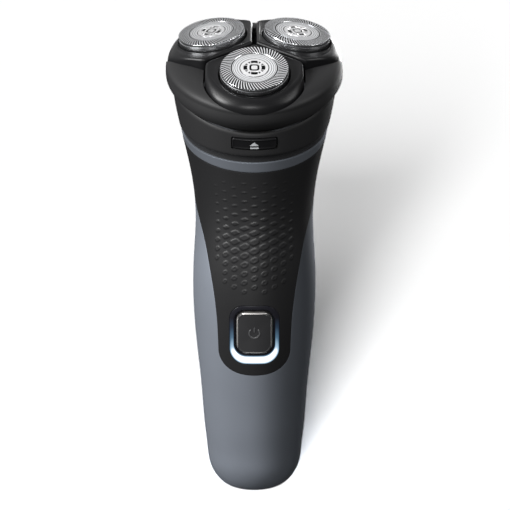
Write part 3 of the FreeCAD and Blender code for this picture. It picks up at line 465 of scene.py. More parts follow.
def skin(name, colour, drift=0.12, rough=0.4, rough_drift=0.08, metal=0.0, grain=2200.0,
         depth=0.03, stretch=(1, 1, 1), coat=0.0, specular=0.5):
    """Moulded or painted skin: wide noise moves tone and gloss, fine noise is the relief."""
    material, tree, shader = nodes_of(name)
    place = add(tree, "TexCoord")
    mapping = add(tree, "Mapping", Scale=stretch)
    wide = add(tree, "TexNoise", Scale=WIDE_NOISE, Detail=3.0)
    relief = add(tree, "TexNoise", Scale=grain, Detail=2.0)
    tone = mix(tree, [c * (1 - drift) for c in colour],
               [min(c * (1 + drift), 1.0) for c in colour])
    gloss = add(tree, "MapRange", To_Min=rough - rough_drift, To_Max=rough + rough_drift)
    bump = add(tree, "Bump", Strength=0.5, Distance=depth * MM)
    wire(tree, (place, "Object", mapping, "Vector"), (place, "Object", wide, "Vector"),
         (mapping, "Vector", relief, "Vector"), (wide, "Fac", tone, 0),
         (tone, 2, shader, "Base Color"), (wide, "Fac", gloss, "Value"),
         (gloss, "Result", shader, "Roughness"), (relief, "Fac", bump, "Height"),
         (bump, "Normal", shader, "Normal"))
    give(shader, Metallic=metal, Coat_Weight=coat, Specular_IOR_Level=specular)
    return material


shell_grey = skin("satin_steel_grey", (0.27, 0.295, 0.34), 0.05, 0.42, 0.04, metal=0.7,
                  depth=0.015)
# The band's grey is its own paint, made darker than the shell's grey to paint the shade on the
# band, which faces down under the head.
band_grey_and_shade = skin("band_grey_and_shade", (0.16, 0.175, 0.20), 0.04, 0.42, 0.03, metal=0.7, depth=0.012)
panel_black = skin("grip_black", (0.007, 0.007, 0.0075), 0.15, 0.44, 0.04, depth=0.02,
                   specular=0.45)
neck_black = skin("neck_black", (0.014, 0.014, 0.0145), 0.15, 0.50, 0.05, depth=0.02,
                  specular=0.16)
petal_black = skin("petal_black", (0.006, 0.006, 0.0065), 0.15, 0.34, 0.05, depth=0.018,
                   specular=0.17)
rim_smoke = skin("rim_smoke", (0.56, 0.545, 0.53), 0.1, 0.46, 0.03, metal=1.0, depth=0.005)
button_satin = skin("button_satin", (0.015, 0.015, 0.016), 0.15, 0.46, 0.05, depth=0.018,
                    specular=0.35)
icon_grey = skin("icon_grey", (0.36, 0.37, 0.38), 0.06, 0.45, 0.04, depth=0.01)
icon_relief = skin("icon_relief", (0.045, 0.045, 0.047), 0.1, 0.3, 0.04, depth=0.01)
print("finishes so far:", [material.name for material in bpy.data.materials])

# %% [markdown]
# ## The grip panel
# A softer black plastic covers the front of the handle and runs over the sides towards
# the head. Its edge is a slim tongue that ends in half an ellipse under the power
# button. It could be a boolean cut, but two grids that share a row give cleaner
# highlights: one fans out round the light ring, the other carries the grip pattern.

# %% Edge of the grip panel
PANEL_EDGE = ((56.4, 12.3), (62.5, 12.5), (75.0, 13.6), (86.0, 15.4), (95.5, 17.4),
              (101.5, 19.2))
PANEL_FOOT, FOOT_POWER = 9.5, 2.4
edge_z, edge_half = np.array(PANEL_EDGE).T
edge_angle = np.degrees(np.arcsin(edge_half / section(edge_z)[0]))
side_z = np.concatenate([edge_z, (105.5, 110.5, 116.0, 124.0, 140.0)])
side_angle = np.concatenate([edge_angle, (82.5, 88.5, 90.0, 90.0, 90.0)])


def panel_angle(z):
    """Half angle of the panel: an ellipse at its foot, a spline up the sides."""
    z = np.asarray(z, float)
    share = np.clip((edge_z[0] - z) / PANEL_FOOT, 0, 1)
    half = edge_half[0] * (1 - share**FOOT_POWER) ** (1 / FOOT_POWER)
    low = np.arcsin(half / section(z)[0])
    high = np.radians(np.minimum(strip_through(side_z, side_angle, z), 90.0))
    return np.where(z < edge_z[0], low, high)


BAND_FRONT = AXIS_Y - 22.4
BAND_LOW, BAND_LOW_SLOPE = 118.3, math.tan(math.radians(20.5))
BAND_HIGH, BAND_HIGH_SLOPE = 122.0, math.tan(math.radians(17.2))
SEAM = 0.12


def band_low_z(angle):
    """The band's lower edge, where the panel and the shell end."""
    return on_plane(angle, BAND_LOW, BAND_LOW_SLOPE, BAND_FRONT)


def band_high_z(angle):
    """The band's upper edge, where the neck begins."""
    return on_plane(angle, BAND_HIGH, BAND_HIGH_SLOPE, BAND_FRONT)


print("half angle of the panel's edge", np.round(edge_angle, 1), "degrees")

# %% [markdown]
# ## The grip pattern
# The fingers rest on rows of small raised studs. They start as short dashes under the
# grey band, swell to lozenges at the waist and shrink to round dots above the button.
# Real relief catches the light better than a bump map, so the studs move the surface.
# Columns are staggered by half a step, as on the real mould.

# %% Stud relief
COLUMN_STEP, ROW_STEP, ROW_START = 3.33, 3.12, 97.6
GRIP_RADIUS, OUTER_COLUMN = 20.5, 4
SLANT, SHRINK, SIDE, BOWL = 0.35, 0.028, 0.22, 0.45
STUDS = np.array([
    # height, half width, half height, relief, sharpness of the lozenge, dip in its middle
    (76.0, 0.82, 0.68, 0.08, 2.2, 0.6), (79.5, 0.98, 0.88, 0.09, 2.1, 0.6),
    (85.0, 1.22, 1.04, 0.10, 1.9, 0.5), (89.5, 1.55, 1.22, 0.11, 1.6, 0.35),
    (92.5, 1.88, 1.26, 0.12, 1.4, 0.15), (95.5, 2.00, 1.22, 0.13, 1.25, 0.0),
    (99.0, 1.72, 0.92, 0.13, 1.2, 0.0), (103.0, 1.28, 0.60, 0.12, 1.3, 0.0),
    (108.0, 0.98, 0.40, 0.10, 1.6, 0.0), (113.0, 0.75, 0.30, 0.08, 1.9, 0.0),
    (120.0, 0.60, 0.26, 0.06, 2.0, 0.0),
])
STUD_TOP, STUD_FOOT = 115.6, 77.2


def ease(share):
    """Soft step: 3 times the square less twice the cube, flat at 0 and at 1."""
    share = np.clip(share, 0, 1)
    return share * share * (3 - 2 * share)


def stud_relief(angle, z):
    """Height of the studs: distance from the nearest stud's middle in its own measure,
    turned into a flat top with sloping sides and a bowl in the middle."""
    arc = angle * GRIP_RADIUS
    column = np.round(arc / COLUMN_STEP)
    offset = 0.5 * (np.abs(column) % 2)
    row = np.round((z - ROW_START) / ROW_STEP - offset)
    centre_z = ROW_START + (row + offset) * ROW_STEP
    rise = z - centre_z
    across = arc - column * COLUMN_STEP - SLANT * rise
    half, tall, relief, power, dip = (np.interp(centre_z, STUDS[:, 0], STUDS[:, k])
                                      for k in (1, 2, 3, 4, 5))
    smaller = 1 - SHRINK * column**2
    half, tall = half * smaller, tall * (1 + smaller) / 2
    reach = (np.abs(across / half) ** power + np.abs(rise / tall) ** power) ** (1 / power)
    shape = ease((1.08 - reach) / SIDE) - dip * ease((0.55 - reach) / BOWL)
    lowest = STUD_FOOT + np.interp(np.abs(column), (1, 2, 3, 4), (0.0, 1.4, 2.4, 9.5))
    highest = STUD_TOP - 0.25 * np.abs(column)
    kept = (np.abs(column) <= OUTER_COLUMN) & (centre_z > lowest) & (centre_z < highest)
    return np.where(kept, relief * shape, 0.0)


print("studs stand", STUDS[:, 3].min(), "to", STUDS[:, 3].max(), "mm out of the panel")


# %% [markdown]
# ## Outlines with rounded corners
# Buttons and openings share one outline: a rectangle whose corners are quarter circles.
# It is sampled evenly along its length, so that outlines of different size can be
# joined point by point.

# %% Rounded outline
def rounded_outline(half_x, half_z, radius, count=160):
    """Rectangle with quarter-circle corners, evenly spaced points, from the right."""
    turns = np.linspace(0, math.pi / 2, 24)
    corners = []
    for quarter, (sx, sz) in enumerate(((1, 1), (-1, 1), (-1, -1), (1, -1))):
        a = turns + quarter * math.pi / 2
        corner = np.array([sx * (half_x - radius), sz * (half_z - radius)])
        corners.append(corner + radius * np.stack([np.cos(a), np.sin(a)], -1))
    loop = np.concatenate([[[half_x, 0.0]], *corners, [[half_x, 0.0]]])
    length = np.concatenate([[0], np.cumsum(np.hypot(*np.diff(loop, axis=0).T))])
    where = np.linspace(0, length[-1], count, endpoint=False)
    return np.stack([np.interp(where, length, loop[:, k]) for k in (0, 1)], -1)


def outline_reach(loop, angle):
    """Distance from the middle to an outline in a direction."""
    around = np.unwrap(np.arctan2(loop[:, 1], loop[:, 0]))
    reach = np.hypot(loop[:, 0], loop[:, 1])
    around = np.concatenate([around - 2 * math.pi, around, around + 2 * math.pi])
    return np.interp(np.mod(angle, 2 * math.pi), around, np.tile(reach, 3))


diagonal = outline_reach(rounded_outline(2.0, 2.0, 0.5), math.pi / 4)
print("a 4 mm square with soft corners reaches", round(float(diagonal), 2), "mm to a corner")


# %% [markdown]
# ## Two grids for the panel
# The upper grid runs straight up to the band and carries the studs. The lower one is a
# fan of spokes from the hole of the light ring to the tongue's edge, and its first
# spokes end in the upper grid's lowest row, so that the two share their seam.

# %% Grip panel mesh
(RING_HALF_X, _, RING_HALF_Z), (_, _, RING_Z) = half_and_middle("light_ring")
RING_CORNER, RING_GAP = 5.4, 0.06
SPLIT_Z, PANEL_COLUMNS, PATTERN_ROWS, FAN_ROWS = 76.0, 170, 180, 12

across = np.linspace(-1, 1, PANEL_COLUMNS + 1)
top_z = band_low_z(across * math.pi / 2) - SEAM
share = np.linspace(0, 1, PATTERN_ROWS + 1)[:, None]
upper_z = SPLIT_Z + share * (top_z - SPLIT_Z)
upper_angle = across * panel_angle(upper_z)
upper = on_handle(upper_angle, upper_z)
wide, deep, back = section(upper_z)
outward = np.stack([np.sin(upper_angle) / wide, -np.cos(upper_angle) / deep,
                    0 * upper_angle], -1)
outward /= np.linalg.norm(outward, axis=-1, keepdims=True)
upper += outward * stud_relief(upper_angle, upper_z)[..., None]

foot_turn, squareness = np.linspace(0, math.pi, 122), 2 / FOOT_POWER
foot_cos = np.cos(foot_turn)
foot_x = edge_half[0] * np.sign(foot_cos) * np.abs(foot_cos) ** squareness
foot_z = edge_z[0] - PANEL_FOOT * np.sin(foot_turn) ** squareness
side_rows = np.linspace(SPLIT_Z, edge_z[0], 40)[1:]
side_x = section(side_rows)[0] * np.sin(panel_angle(side_rows))
rim = np.concatenate([
    upper[0][:, [0, 2]],
    np.stack([side_x, side_rows], -1),
    np.stack([foot_x, foot_z], -1)[1:-1],
    np.stack([-side_x, side_rows], -1)[::-1],
])
spoke = rim - (0, RING_Z)
spoke_turn = np.arctan2(spoke[:, 1], spoke[:, 0])
hole = rounded_outline(RING_HALF_X + RING_GAP, RING_HALF_Z + RING_GAP, RING_CORNER, 720)
near = outline_reach(hole, spoke_turn)
far = np.hypot(spoke[:, 0], spoke[:, 1])
fan = near + np.linspace(0, 1, FAN_ROWS + 1)[:, None] ** 1.3 * (far - near)
fan_x, fan_z = fan * np.cos(spoke_turn), RING_Z + fan * np.sin(spoke_turn)
lower = laid_on(in_front, fan_x, fan_z)
panel = join_grids("grip_panel", [(upper, False), (lower, True)], closed=False)
thicken(panel, WALL, WALL_EDGE)
dress(panel, "handle", panel_black, "front_panel", 50)

# %% [markdown]
# ## The rear shell
# The palm side is a painted shell. It starts at the mouth of the charging inlet, rolls
# round the lower end and climbs the back to the band, leaving the panel's outline open
# at the front. The bay of the pop-up trimmer and the slot of its switch are cut last.

# %% Rear shell mesh
SHELL_COLUMNS, INLET_GAP, INLET_DEPTH = 200, 0.05, 1.2
TUBE_FROM, CROWN_FROM = 20.0, 112.0
(inlet_half_x, inlet_half_y, _), _ = half_and_middle("charging_socket")
inlet_loop = rounded_outline(inlet_half_x + INLET_GAP, inlet_half_y + INLET_GAP, 1.0, 720)
round_way = np.linspace(0, 1, SHELL_COLUMNS + 1)
from_right = round_way * 2 * math.pi - math.pi / 2
mouth = polar(outline_reach(inlet_loop, from_right), from_right, 0) + (0, AXIS_Y, 0)
end_edge = on_handle(round_way * 2 * math.pi, 0 * round_way)
base_rows = [mouth + (0, 0, INLET_DEPTH), mouth, (mouth + end_edge) / 2]


def round_the_back(edge):
    """Angles from the panel's right edge round the back to its left edge."""
    return edge + round_way * (2 * math.pi - 2 * edge)


foot_low = edge_z[0] - PANEL_FOOT
end_z = fine[np.linspace(0, np.searchsorted(fine[:, 0], TUBE_FROM), 40).astype(int), 0]
tube_z = np.linspace(TUBE_FROM, foot_low, 24)[1:]
foot_z = edge_z[0] - PANEL_FOOT * np.cos(np.linspace(0, math.pi / 2, 40))[1:]
rise_z = np.linspace(edge_z[0], CROWN_FROM, 70)[1:]
level_z = np.concatenate([end_z, tube_z, foot_z, rise_z])[:, None]
start = np.where(level_z < foot_low + 1e-6, 0, panel_angle(level_z))
climb = on_handle(round_the_back(start), level_z)
crown_end = band_low_z(math.pi / 2 + round_way * math.pi) - SEAM
crown_z = CROWN_FROM + np.linspace(0, 1, 25)[1:, None] * (crown_end - CROWN_FROM)
crown = on_handle(round_the_back(panel_angle(crown_z[:, :1])), crown_z)
shell_grid = np.concatenate([np.array(base_rows), climb, crown])
shell = grid_piece("rear_cover", shell_grid, wrap_columns=False, closed=False)
thicken(shell, WALL, WALL_EDGE)
print("rear shell from", shell_grid.shape[0], "rows and", shell_grid.shape[1], "columns")

# %% [markdown]
# ## Openings in the back
# The trimmer lies in a bay with rounded corners, and its switch slides in a slot under
# it. Both are cut with closed blocks that follow the same rounded outline.

# %% Cut the trimmer bay and the switch slot
def prism_y(name, loop, centre_z, depths):
    """Closed block: an outline in the front plane carried from one depth to another."""
    x, z = loop.T
    rows = [np.stack([x * part, 0 * x + y, centre_z + z * part], -1)
            for part, y in zip((0, 1, 1, 0), np.repeat(depths, 2))]
    return grid_piece(name, np.array(rows))


BACK_WALL = (10.0, 30.0)
arm_low, arm_high = box_mm("trimmer_arm")
ARM_HALF = (arm_high[0] - arm_low[0]) / 2
bay_low, bay_high = arm_low[2] - 2.3, box_mm("trimmer_comb")[1][2] + 0.5
bay_loop = rounded_outline(ARM_HALF + 0.35, (bay_high - bay_low) / 2, 2.2, 96)
bay = prism_y("bay_cutter", bay_loop, (bay_high + bay_low) / 2, BACK_WALL)
SLOT_HALF_X, SLOT_HALF_Z, SLOT_Z = 2.3, 6.5, 68.0
slot_loop = rounded_outline(SLOT_HALF_X, SLOT_HALF_Z, 1.0, 48)
carve(shell, bay, prism_y("slot_cutter", slot_loop, SLOT_Z, BACK_WALL))
dress(shell, "handle", shell_grey, "rear_shell", 40)

# %% [markdown]
# ## The grey band
# A narrow painted ring separates grip and neck. It lies between two planes that tilt
# with the head, a little less at the top than at the bottom, so it is widest in front. Its
# grey is darker than the shell's: partly its own paint, partly painted shade.

# %% Band mesh
turn_angle = circle(240)
low_z, high_z = band_low_z(turn_angle) + SEAM / 2, band_high_z(turn_angle) - SEAM / 2
band_share = np.linspace(0, 1, 9)[:, None]
band_z = low_z + band_share * (high_z - low_z)
band = grid_piece("grey_band", on_handle(turn_angle, band_z, 0.08), closed=False)
thicken(band, 1.3, 0.12)
dress(band, "handle", band_grey_and_shade, "neck_ring", 40)

# %% [markdown]
# ## The neck
# The black collar above the band carries the head. It steps in over the band, which
# reads as a dark line, then follows the flare of the handle up to the parting plane.
# A pocket in its front takes the release button.

# %% Neck mesh
NECK_TOP = 15.6


def edge_depth(depth, angle):
    """The parting line between head and neck dips in front and rises at the sides."""
    return depth + 0.8 - 3.6 * np.sin(angle) ** 2


parting = placed(UNIT, np.array([[0.0, 0.0, -NECK_TOP]]))[0]
neck_top_z = on_plane(turn_angle, parting[2], math.tan(math.radians(unit_tilt)), parting[1])
neck_top_z += (NECK_TOP - edge_depth(NECK_TOP, turn_angle)) * math.cos(math.radians(unit_tilt))
neck_base_z = band_high_z(turn_angle) + SEAM / 2
NECK_PROFILE = np.array([
    # millimetres above the band, and how far the surface lies in
    (0.0, 0.75), (0.9, 0.72), (1.75, 0.62), (2.0, 0.40), (2.2, 0.14), (2.5, 0.03), (3.0, 0.0),
])
rows = []
for above, inset in NECK_PROFILE:
    fit = above * np.clip((neck_top_z - neck_base_z) / 8.0, 0.3, 1.0)
    rows.append(on_handle(turn_angle, neck_base_z + fit, inset))
start_z = rows[-1][..., 2]
for share_up, inset in zip(np.linspace(0, 1, 16)[1:], [0] * 13 + [0.05, 0.35]):
    rows.append(on_handle(turn_angle, start_z + share_up * (neck_top_z - 0.02 - start_z), inset))
neck = grid_piece("neck_collar", np.array(rows), closed=False)
thicken(neck, 1.2)
RELEASE_TOP, RELEASE_FOOT = 18.2, 21.9
RELEASE_MIDDLE, RELEASE_TALL = (RELEASE_TOP + RELEASE_FOOT) / 2, RELEASE_FOOT - RELEASE_TOP
RELEASE_HALF = half_and_middle("release_button")[0][0]
recess = rounded_outline(RELEASE_HALF + 0.3, RELEASE_TALL / 2 + 0.33, 0.7, 64)
cutter = prism_y("recess_cutter", recess, 0, (-36.0, -25.0))
in_neck = placed(UNIT @ shift(0, 0, 0.05 - RELEASE_MIDDLE), points_of(cutter.data)) * MM
cutter.data.vertices.foreach_set("co", in_neck.ravel())
carve(neck, cutter)
dress(neck, "handle", neck_black, "neck_housing", 40)

# %% [markdown]
# ## Pieces that sit in the curved front
# The light ring and the power button follow the curve of the handle. Each is a stack of
# outlines: every row says how far the outline is drawn in, and how far it stands out
# from the handle's surface. Joined, the rows make a closed skin with soft rims.

# %% Rows of outlines on a curved surface
def pad_rows(half_x, half_z, radius, rows, surface, centre, count=160):
    """Rows are (drawn in, share of that outline, out of the surface), all closed loops."""
    made = []
    for drawn, part, proud in rows:
        least = max(radius - drawn, 0.25)
        loop = rounded_outline(half_x - drawn, half_z - drawn, least, count) * part
        made.append(laid_on(surface, *(loop + centre).T, proud))
    return np.array(made)


print("the front lies at", round(float(in_front(0, RING_Z)), 2), "mm behind the light ring")


# %% [markdown]
# ## The light ring
# A clear lens runs round the power button. Small lamps behind it light the lower half,
# so the real ring goes from white at the bottom through a cool blue to black at the
# top. The glow is stored on the mesh as a number per point, and the finish turns that
# number into light.

# %% Light ring mesh and finish
LIT_Z, DARK_Z, LENS_WIDER = 55.5, 68.5, 0.95
(BUTTON_HALF_X, _, BUTTON_HALF_Z), (_, _, BUTTON_Z) = half_and_middle("power_button")
outer_face = pad_rows(RING_HALF_X, RING_HALF_Z, RING_CORNER,
                      [(0.02, 1, -2.4), (0.02, 1, -0.25), (0.10, 1, -0.06), (0.28, 1, 0.0),
                       (0.8, 1, 0.02)], in_front, (0, RING_Z))
inner_face = pad_rows(BUTTON_HALF_X + LENS_WIDER, BUTTON_HALF_Z + LENS_WIDER, 4.1,
                      [(0.0, 1, -0.35), (0.25, 1, -0.75), (0.62, 1, -1.2), (0.66, 1, -2.4)],
                      in_front, (0, BUTTON_Z))
part = np.array((0.2, 0.4, 0.6, 0.8, 1.0))[:, None, None]
lit_rows = outer_face[-1] + part * (inner_face[0] - outer_face[-1])
stand = np.array((0.02, 0.02, 0.02, 0.02, -0.05))[:, None]
lit_rows[..., 1] = in_front(lit_rows[..., 0], lit_rows[..., 2], stand)
ring = grid_piece("light_guide_ring", np.concatenate([outer_face, lit_rows, inner_face]),
                  wrap_rows=True)
x, y, z = points_of(ring.data).T
fade = np.clip((DARK_Z - z) / (DARK_Z - LIT_Z), 0, 1)
on_face = np.clip(1 + (in_front(x, z) - y - 0.02) / 0.12, 0, 1)
point_number(ring.data, "glow", fade * on_face)


def light_finish():
    """The point's glow picks black, blue, pale blue or white, which is then given off."""
    material, tree, shader = nodes_of("light_guide")
    source = add(tree, "Attribute", attribute_name="glow")
    ramp = add(tree, "ValToRGB")
    stops = ramp.color_ramp.elements
    stops[0].position, stops[0].color = 0.06, (0.002, 0.002, 0.003, 1)
    stops[1].position, stops[1].color = 0.97, (0.90, 0.94, 0.97, 1)
    for position, colour in ((0.32, (0.012, 0.025, 0.045, 1)), (0.60, (0.06, 0.12, 0.18, 1)),
                             (0.87, (0.33, 0.47, 0.60, 1))):
        stops.new(position).color = colour
    cloud = add(tree, "TexNoise", Scale=900.0, Detail=1.0)
    place = add(tree, "TexCoord")
    bump = add(tree, "Bump", Strength=0.2, Distance=0.01 * MM)
    wire(tree, (source, "Fac", ramp, "Fac"), (ramp, "Color", shader, "Emission Color"),
         (place, "Object", cloud, "Vector"), (cloud, "Fac", bump, "Height"),
         (bump, "Normal", shader, "Normal"))
    give(shader, Emission_Strength=1.3, Base_Color=(0.008, 0.008, 0.01, 1), Roughness=0.35,
         Specular_IOR_Level=0.10)
    return material


lit_lens = light_finish()
dress(ring, "handle", lit_lens, "light_ring", 45)

# %% [markdown]
# ## The power button
# A rounded square with a glossy bevel round a satin face. The two finishes are two
# materials on one mesh: rows up to the bevel's inner edge are glossy, the rest satin.
# The face is slightly hollow, so a fingertip finds it.

# %% Power button mesh
BUTTON_PROUD, BEVEL = 0.65, 0.5
bevel_turn = np.linspace(0, math.pi / 2, 7)
bevel = [(BEVEL * (1 - math.cos(a)), 1, BUTTON_PROUD - BEVEL * (1 - math.sin(a)))
         for a in bevel_turn]
face_rows = [(BEVEL + 0.05, 1, BUTTON_PROUD - 0.03), (BEVEL + 0.12, 1, BUTTON_PROUD - 0.08)]
face_rows += [(BEVEL + 0.2, s, BUTTON_PROUD - 0.08 - 0.24 * (1 - s)) for s in
              (1, 0.93, 0.8, 0.65, 0.5, 0.35, 0.2, 0.08, 0.0)]
button_rows = [(0.0, 0.0, -3.2), (0.0, 1, -3.2), (0.0, 1, -1.2)] + bevel + face_rows
button_grid = pad_rows(BUTTON_HALF_X, BUTTON_HALF_Z, 3.4, button_rows, in_front,
                       (0, BUTTON_Z))
button_grid[:2, :, 1] = button_grid[:2, :, 1].max() + 1.0
button = grid_piece("power_key", button_grid)
dress(button, "power_button", [rim_smoke, button_satin], "power_button", 50)

faces = button.data.polygons
face_middles = np.zeros(len(faces) * 3)
faces.foreach_get("center", face_middles)
x, y, z = face_middles.reshape(-1, 3).T / MM
satin = (np.abs(x) < BUTTON_HALF_X - BEVEL) & (np.abs(z - BUTTON_Z) < BUTTON_HALF_Z - BEVEL)
satin &= y < in_front(x, z, 0.1)
faces.foreach_set("material_index", satin.astype(np.int32))
print(int(satin.sum()), "satin faces of", len(faces), "on the power button")

# %% [markdown]
# ## The power sign
# The ordinary sign found on any appliance. It is a rib of plastic on the button: a round
# section carried along an open circle and along a short bar.

# %% Power sign
RIB_SIDES = 10
BUTTON_HOLLOW, BUTTON_RISE = 0.28, 0.2


def rib(path, half_wide, half_tall):
    """A flattened round section carried along a path, closed to a point at both ends."""
    ahead = np.gradient(path, axis=0)
    ahead /= np.linalg.norm(ahead, axis=1, keepdims=True)
    outward = np.array((0.0, -1.0, 0.0))
    side = np.cross(ahead, outward)
    side /= np.linalg.norm(side, axis=1, keepdims=True)
    around = circle(RIB_SIDES)[:, None]
    taper = np.ones((len(path), 1, 1))
    taper[[0, -1]] = 0.0
    taper[[1, -2]] = 0.75
    ring_of = side[:, None] * half_wide * np.cos(around) + outward * half_tall * np.sin(around)
    return path[:, None] + taper * ring_of


def ribs(name, paths, half_wide, half_tall):
    """Several ribs as one mesh."""
    return join_grids(name, [(rib(path, half_wide, half_tall), True) for path in paths])


def on_button(x, z):
    """A path on the button's hollow face, which rises towards its edges."""
    share_out = np.clip(np.maximum(np.abs(x) / BUTTON_HALF_X, np.abs(z) / BUTTON_HALF_Z), 0, 1)
    proud = BUTTON_PROUD - BUTTON_HOLLOW + BUTTON_RISE * share_out
    return laid_on(in_front, x, z + BUTTON_Z, proud)


SIGN_RADIUS, SIGN_HALF, SIGN_TALL = 1.75, 0.27, 0.10
sign_turn = np.radians(np.linspace(128, 412, 44))
bar_z = np.linspace(0.15, 2.2, 8)
power_sign = ribs("power_sign", [
    on_button(SIGN_RADIUS * np.cos(sign_turn), SIGN_RADIUS * np.sin(sign_turn)),
    on_button(0 * bar_z, bar_z)], SIGN_HALF, SIGN_TALL)
dress(power_sign, "power_button", icon_relief)

# %% [markdown]
# ## The release button
# A bar in the front of the neck, pressed to swing the head open. Its upper edge is a
# ledge for the fingertip that catches the light. It follows the curve of the neck.

# %% Release button mesh
RELEASE_LEAN = 0.42


def neck_front(x, down, proud):
    """Unit frame: the neck's surface at a depth, found by walking in along the unit's
    own depth axis until the handle's ellipse is met."""
    back = np.full(np.shape(x), -30.0)
    for _ in range(12):
        point = placed(UNIT, np.stack([x, back, -down + 0 * x], -1))
        back = back + (in_front(point[..., 0], point[..., 2]) - point[..., 1])
    return back - proud


def release_surface(x, z, proud):
    """The face leans out towards its upper edge."""
    lean = RELEASE_LEAN * np.clip((z + RELEASE_MIDDLE) / 3.6 + 0.5, 0, 1)
    return neck_front(x, -z, np.where(proud > -1, proud + lean, proud))


release_rows = [(0.0, 0.0, -2.6), (0.0, 1, -2.6), (0.0, 1, -0.30), (0.05, 1, -0.10),
                (0.16, 1, 0.02), (0.34, 1, 0.06), (0.5, 1, 0.05), (0.62, 1, -0.02)]
release_rows += [(0.7, s, -0.04) for s in (1, 0.8, 0.6, 0.4, 0.2, 0.0)]
release_grid = pad_rows(RELEASE_HALF, RELEASE_TALL / 2, 0.75, release_rows,
                        release_surface, (0, -RELEASE_MIDDLE), 200)
release = grid_piece("release_bar", placed(UNIT, release_grid))
dress(release, "release_button", petal_black, "release_button", 50)

# %% [markdown]
# ## The eject sign
# A triangle over a bar, printed on the release button. Each is a thin plate that
# follows the button's face: its outline, filled from the middle on both sides.

# %% Eject sign
PRINT_PROUD, EDGE_STEPS = 0.06, 8


def plate(corners):
    """A thin printed plate: an outline filled from its middle, back and front."""
    loop = np.concatenate([np.linspace(a, b, EDGE_STEPS, endpoint=False) for a, b in
                           zip(corners, np.roll(corners, -1, axis=0))])
    middle = loop.mean(0)
    made = []
    for part, side in ((0.0, -1), (1.0, -1), (1.0, 1), (0.5, 1), (0.0, 1)):
        x, z = (middle + part * (loop - middle)).T
        made.append(laid_on(release_surface, x, z, side * PRINT_PROUD))
    return placed(UNIT, np.array(made))


SIGN_BASE = -RELEASE_MIDDLE - 0.42
triangle = np.array([(-1.4, 0), (1.4, 0), (0.0, 1.3)]) + (0, SIGN_BASE)
dash = np.array([(-1.4, -1.05), (1.4, -1.05), (1.4, -0.6), (-1.4, -0.6)]) + (0, SIGN_BASE)
eject = join_grids("eject_sign", [(plate(triangle), True), (plate(dash), True)])
dress(eject, "release_button", icon_grey)

# %% [markdown]
# ## The body of the shaving unit
# Seen from above the head is a circle with three soft lobes. Stations under the cap
# plane give the mean radius, how far the lobes stand out and how far the middle lies
# forward. A spline joins them, and the lower edge is rolled in, which gives the dark
# line over the neck.

# %% Unit surface
ENVELOPE = np.array([
    (15.3, 27.6, 0.4, 3.2), (12.0, 29.4, 0.5, 2.7), (9.0, 29.7, 0.7, 1.8),
    (6.6, 28.9, 1.0, 1.1), (5.0, 27.3, 1.7, 0.3), (3.5, 25.8, 2.2, 0.0),
    (1.0, 24.0, 2.4, 0.0), (-1.0, 22.5, 2.4, 0.0),
])[::-1]


def unit_section(depth):
    """Mean radius, lobe and forward shift at a depth under the cap plane."""
    depth = np.clip(depth, ENVELOPE[0, 0], ENVELOPE[-1, 0])
    return np.moveaxis(strip_through(ENVELOPE[:, 0], ENVELOPE[:, 1:], depth), -1, 0)


def on_unit(angle, depth, inset=0.0):
    """Unit frame: radius = mean + lobe * cos(3 * angle from the front)."""
    mean, lobe, forward = unit_section(depth)
    reach = mean - inset + lobe * np.cos(3 * (angle + math.pi / 2))
    angle, depth = np.broadcast_arrays(angle, depth)
    return np.stack([reach * np.cos(angle), reach * np.sin(angle) - forward, -depth], -1)


print("head", round(2 * float(unit_section(np.array(9.0))[0]), 1), "mm across at its widest")

# %% [markdown]
# ## The skirt
# The skirt is the outer wall of the head, under the pockets. Its rows roll in at the
# foot, climb to the shoulder, turn over it towards the corners between the pockets and
# come down again inside, so that the piece is a closed shell.

# %% Skirt rows
SKIRT_FLOOR, SKIRT_TOP, SHOULDER, CORNER_REACH, POCKET_DIP = 15.3, 4.9, 8.8, 19.5, 1.3
SKIRT_WALL, CEILING_DEPTH, CEILING_INSET = 1.75, SKIRT_TOP + 2.6, 3.4
skirt_turn = circle(360)
skirt_floor = edge_depth(SKIRT_FLOOR, skirt_turn + math.pi / 2)
skirt_rows = [on_unit(skirt_turn, skirt_floor, inset) for inset in (1.7, 0.95)]
for up, inset in ((0.15, 0.80), (0.55, 0.45), (0.9, 0.16), (1.2, 0.03)):
    skirt_rows.append(on_unit(skirt_turn, skirt_floor - up, inset))
low_part = skirt_floor - 1.5
for part in np.linspace(0, 1, 22):
    skirt_rows.append(on_unit(skirt_turn, low_part + part * (SHOULDER + 0.3 - low_part)))

# Over the shoulder: a soft quarter turn from the widest row to the corner row.
shoulder_row = on_unit(skirt_turn, np.array(SHOULDER))
corner_drop = SKIRT_TOP + POCKET_DIP * np.clip(np.cos(3 * (skirt_turn + math.pi / 2)), 0, 1)
corner_row = polar(CORNER_REACH, skirt_turn, -corner_drop)
for turn_up in np.radians(np.linspace(0, 90, 22)):
    out, up = math.cos(turn_up) ** 0.8, math.sin(turn_up) ** 0.8
    skirt_rows.append(corner_row + (shoulder_row - corner_row) * (out, out, 1 - up))
centre = np.array((0, 0, -SKIRT_TOP))
skirt_rows += [centre + part * (skirt_rows[-1] - centre) for part in (0.7, 0.4, 0.0)]

# Back down inside: the ceiling from its middle out, then the inner wall.
ceiling = on_unit(skirt_turn, np.array(CEILING_DEPTH), CEILING_INSET)
skirt_rows += [ceiling * (part, part, 1) for part in (0.0, 0.5, 0.97)]
for part in (0.0, 0.4, 0.8, 1.0):
    skirt_rows.append(on_unit(skirt_turn, 9.0 + part * (skirt_floor - 9.0), SKIRT_WALL))
skirt = grid_piece("head_skirt", placed(UNIT, np.array(skirt_rows)), wrap_rows=True)
print("skirt from", len(skirt_rows), "rows")

# %% [markdown]
# ## Where the head pockets lie
# Each of the three heads sits in a pocket that can tilt. Its plan is round outside, has
# straight sides towards the middle and is clipped by the Y shaped groove. In polar form
# about the cap's centre, each of those lines is one formula, and the plan is the
# smallest of them, blended so that the corners are soft.

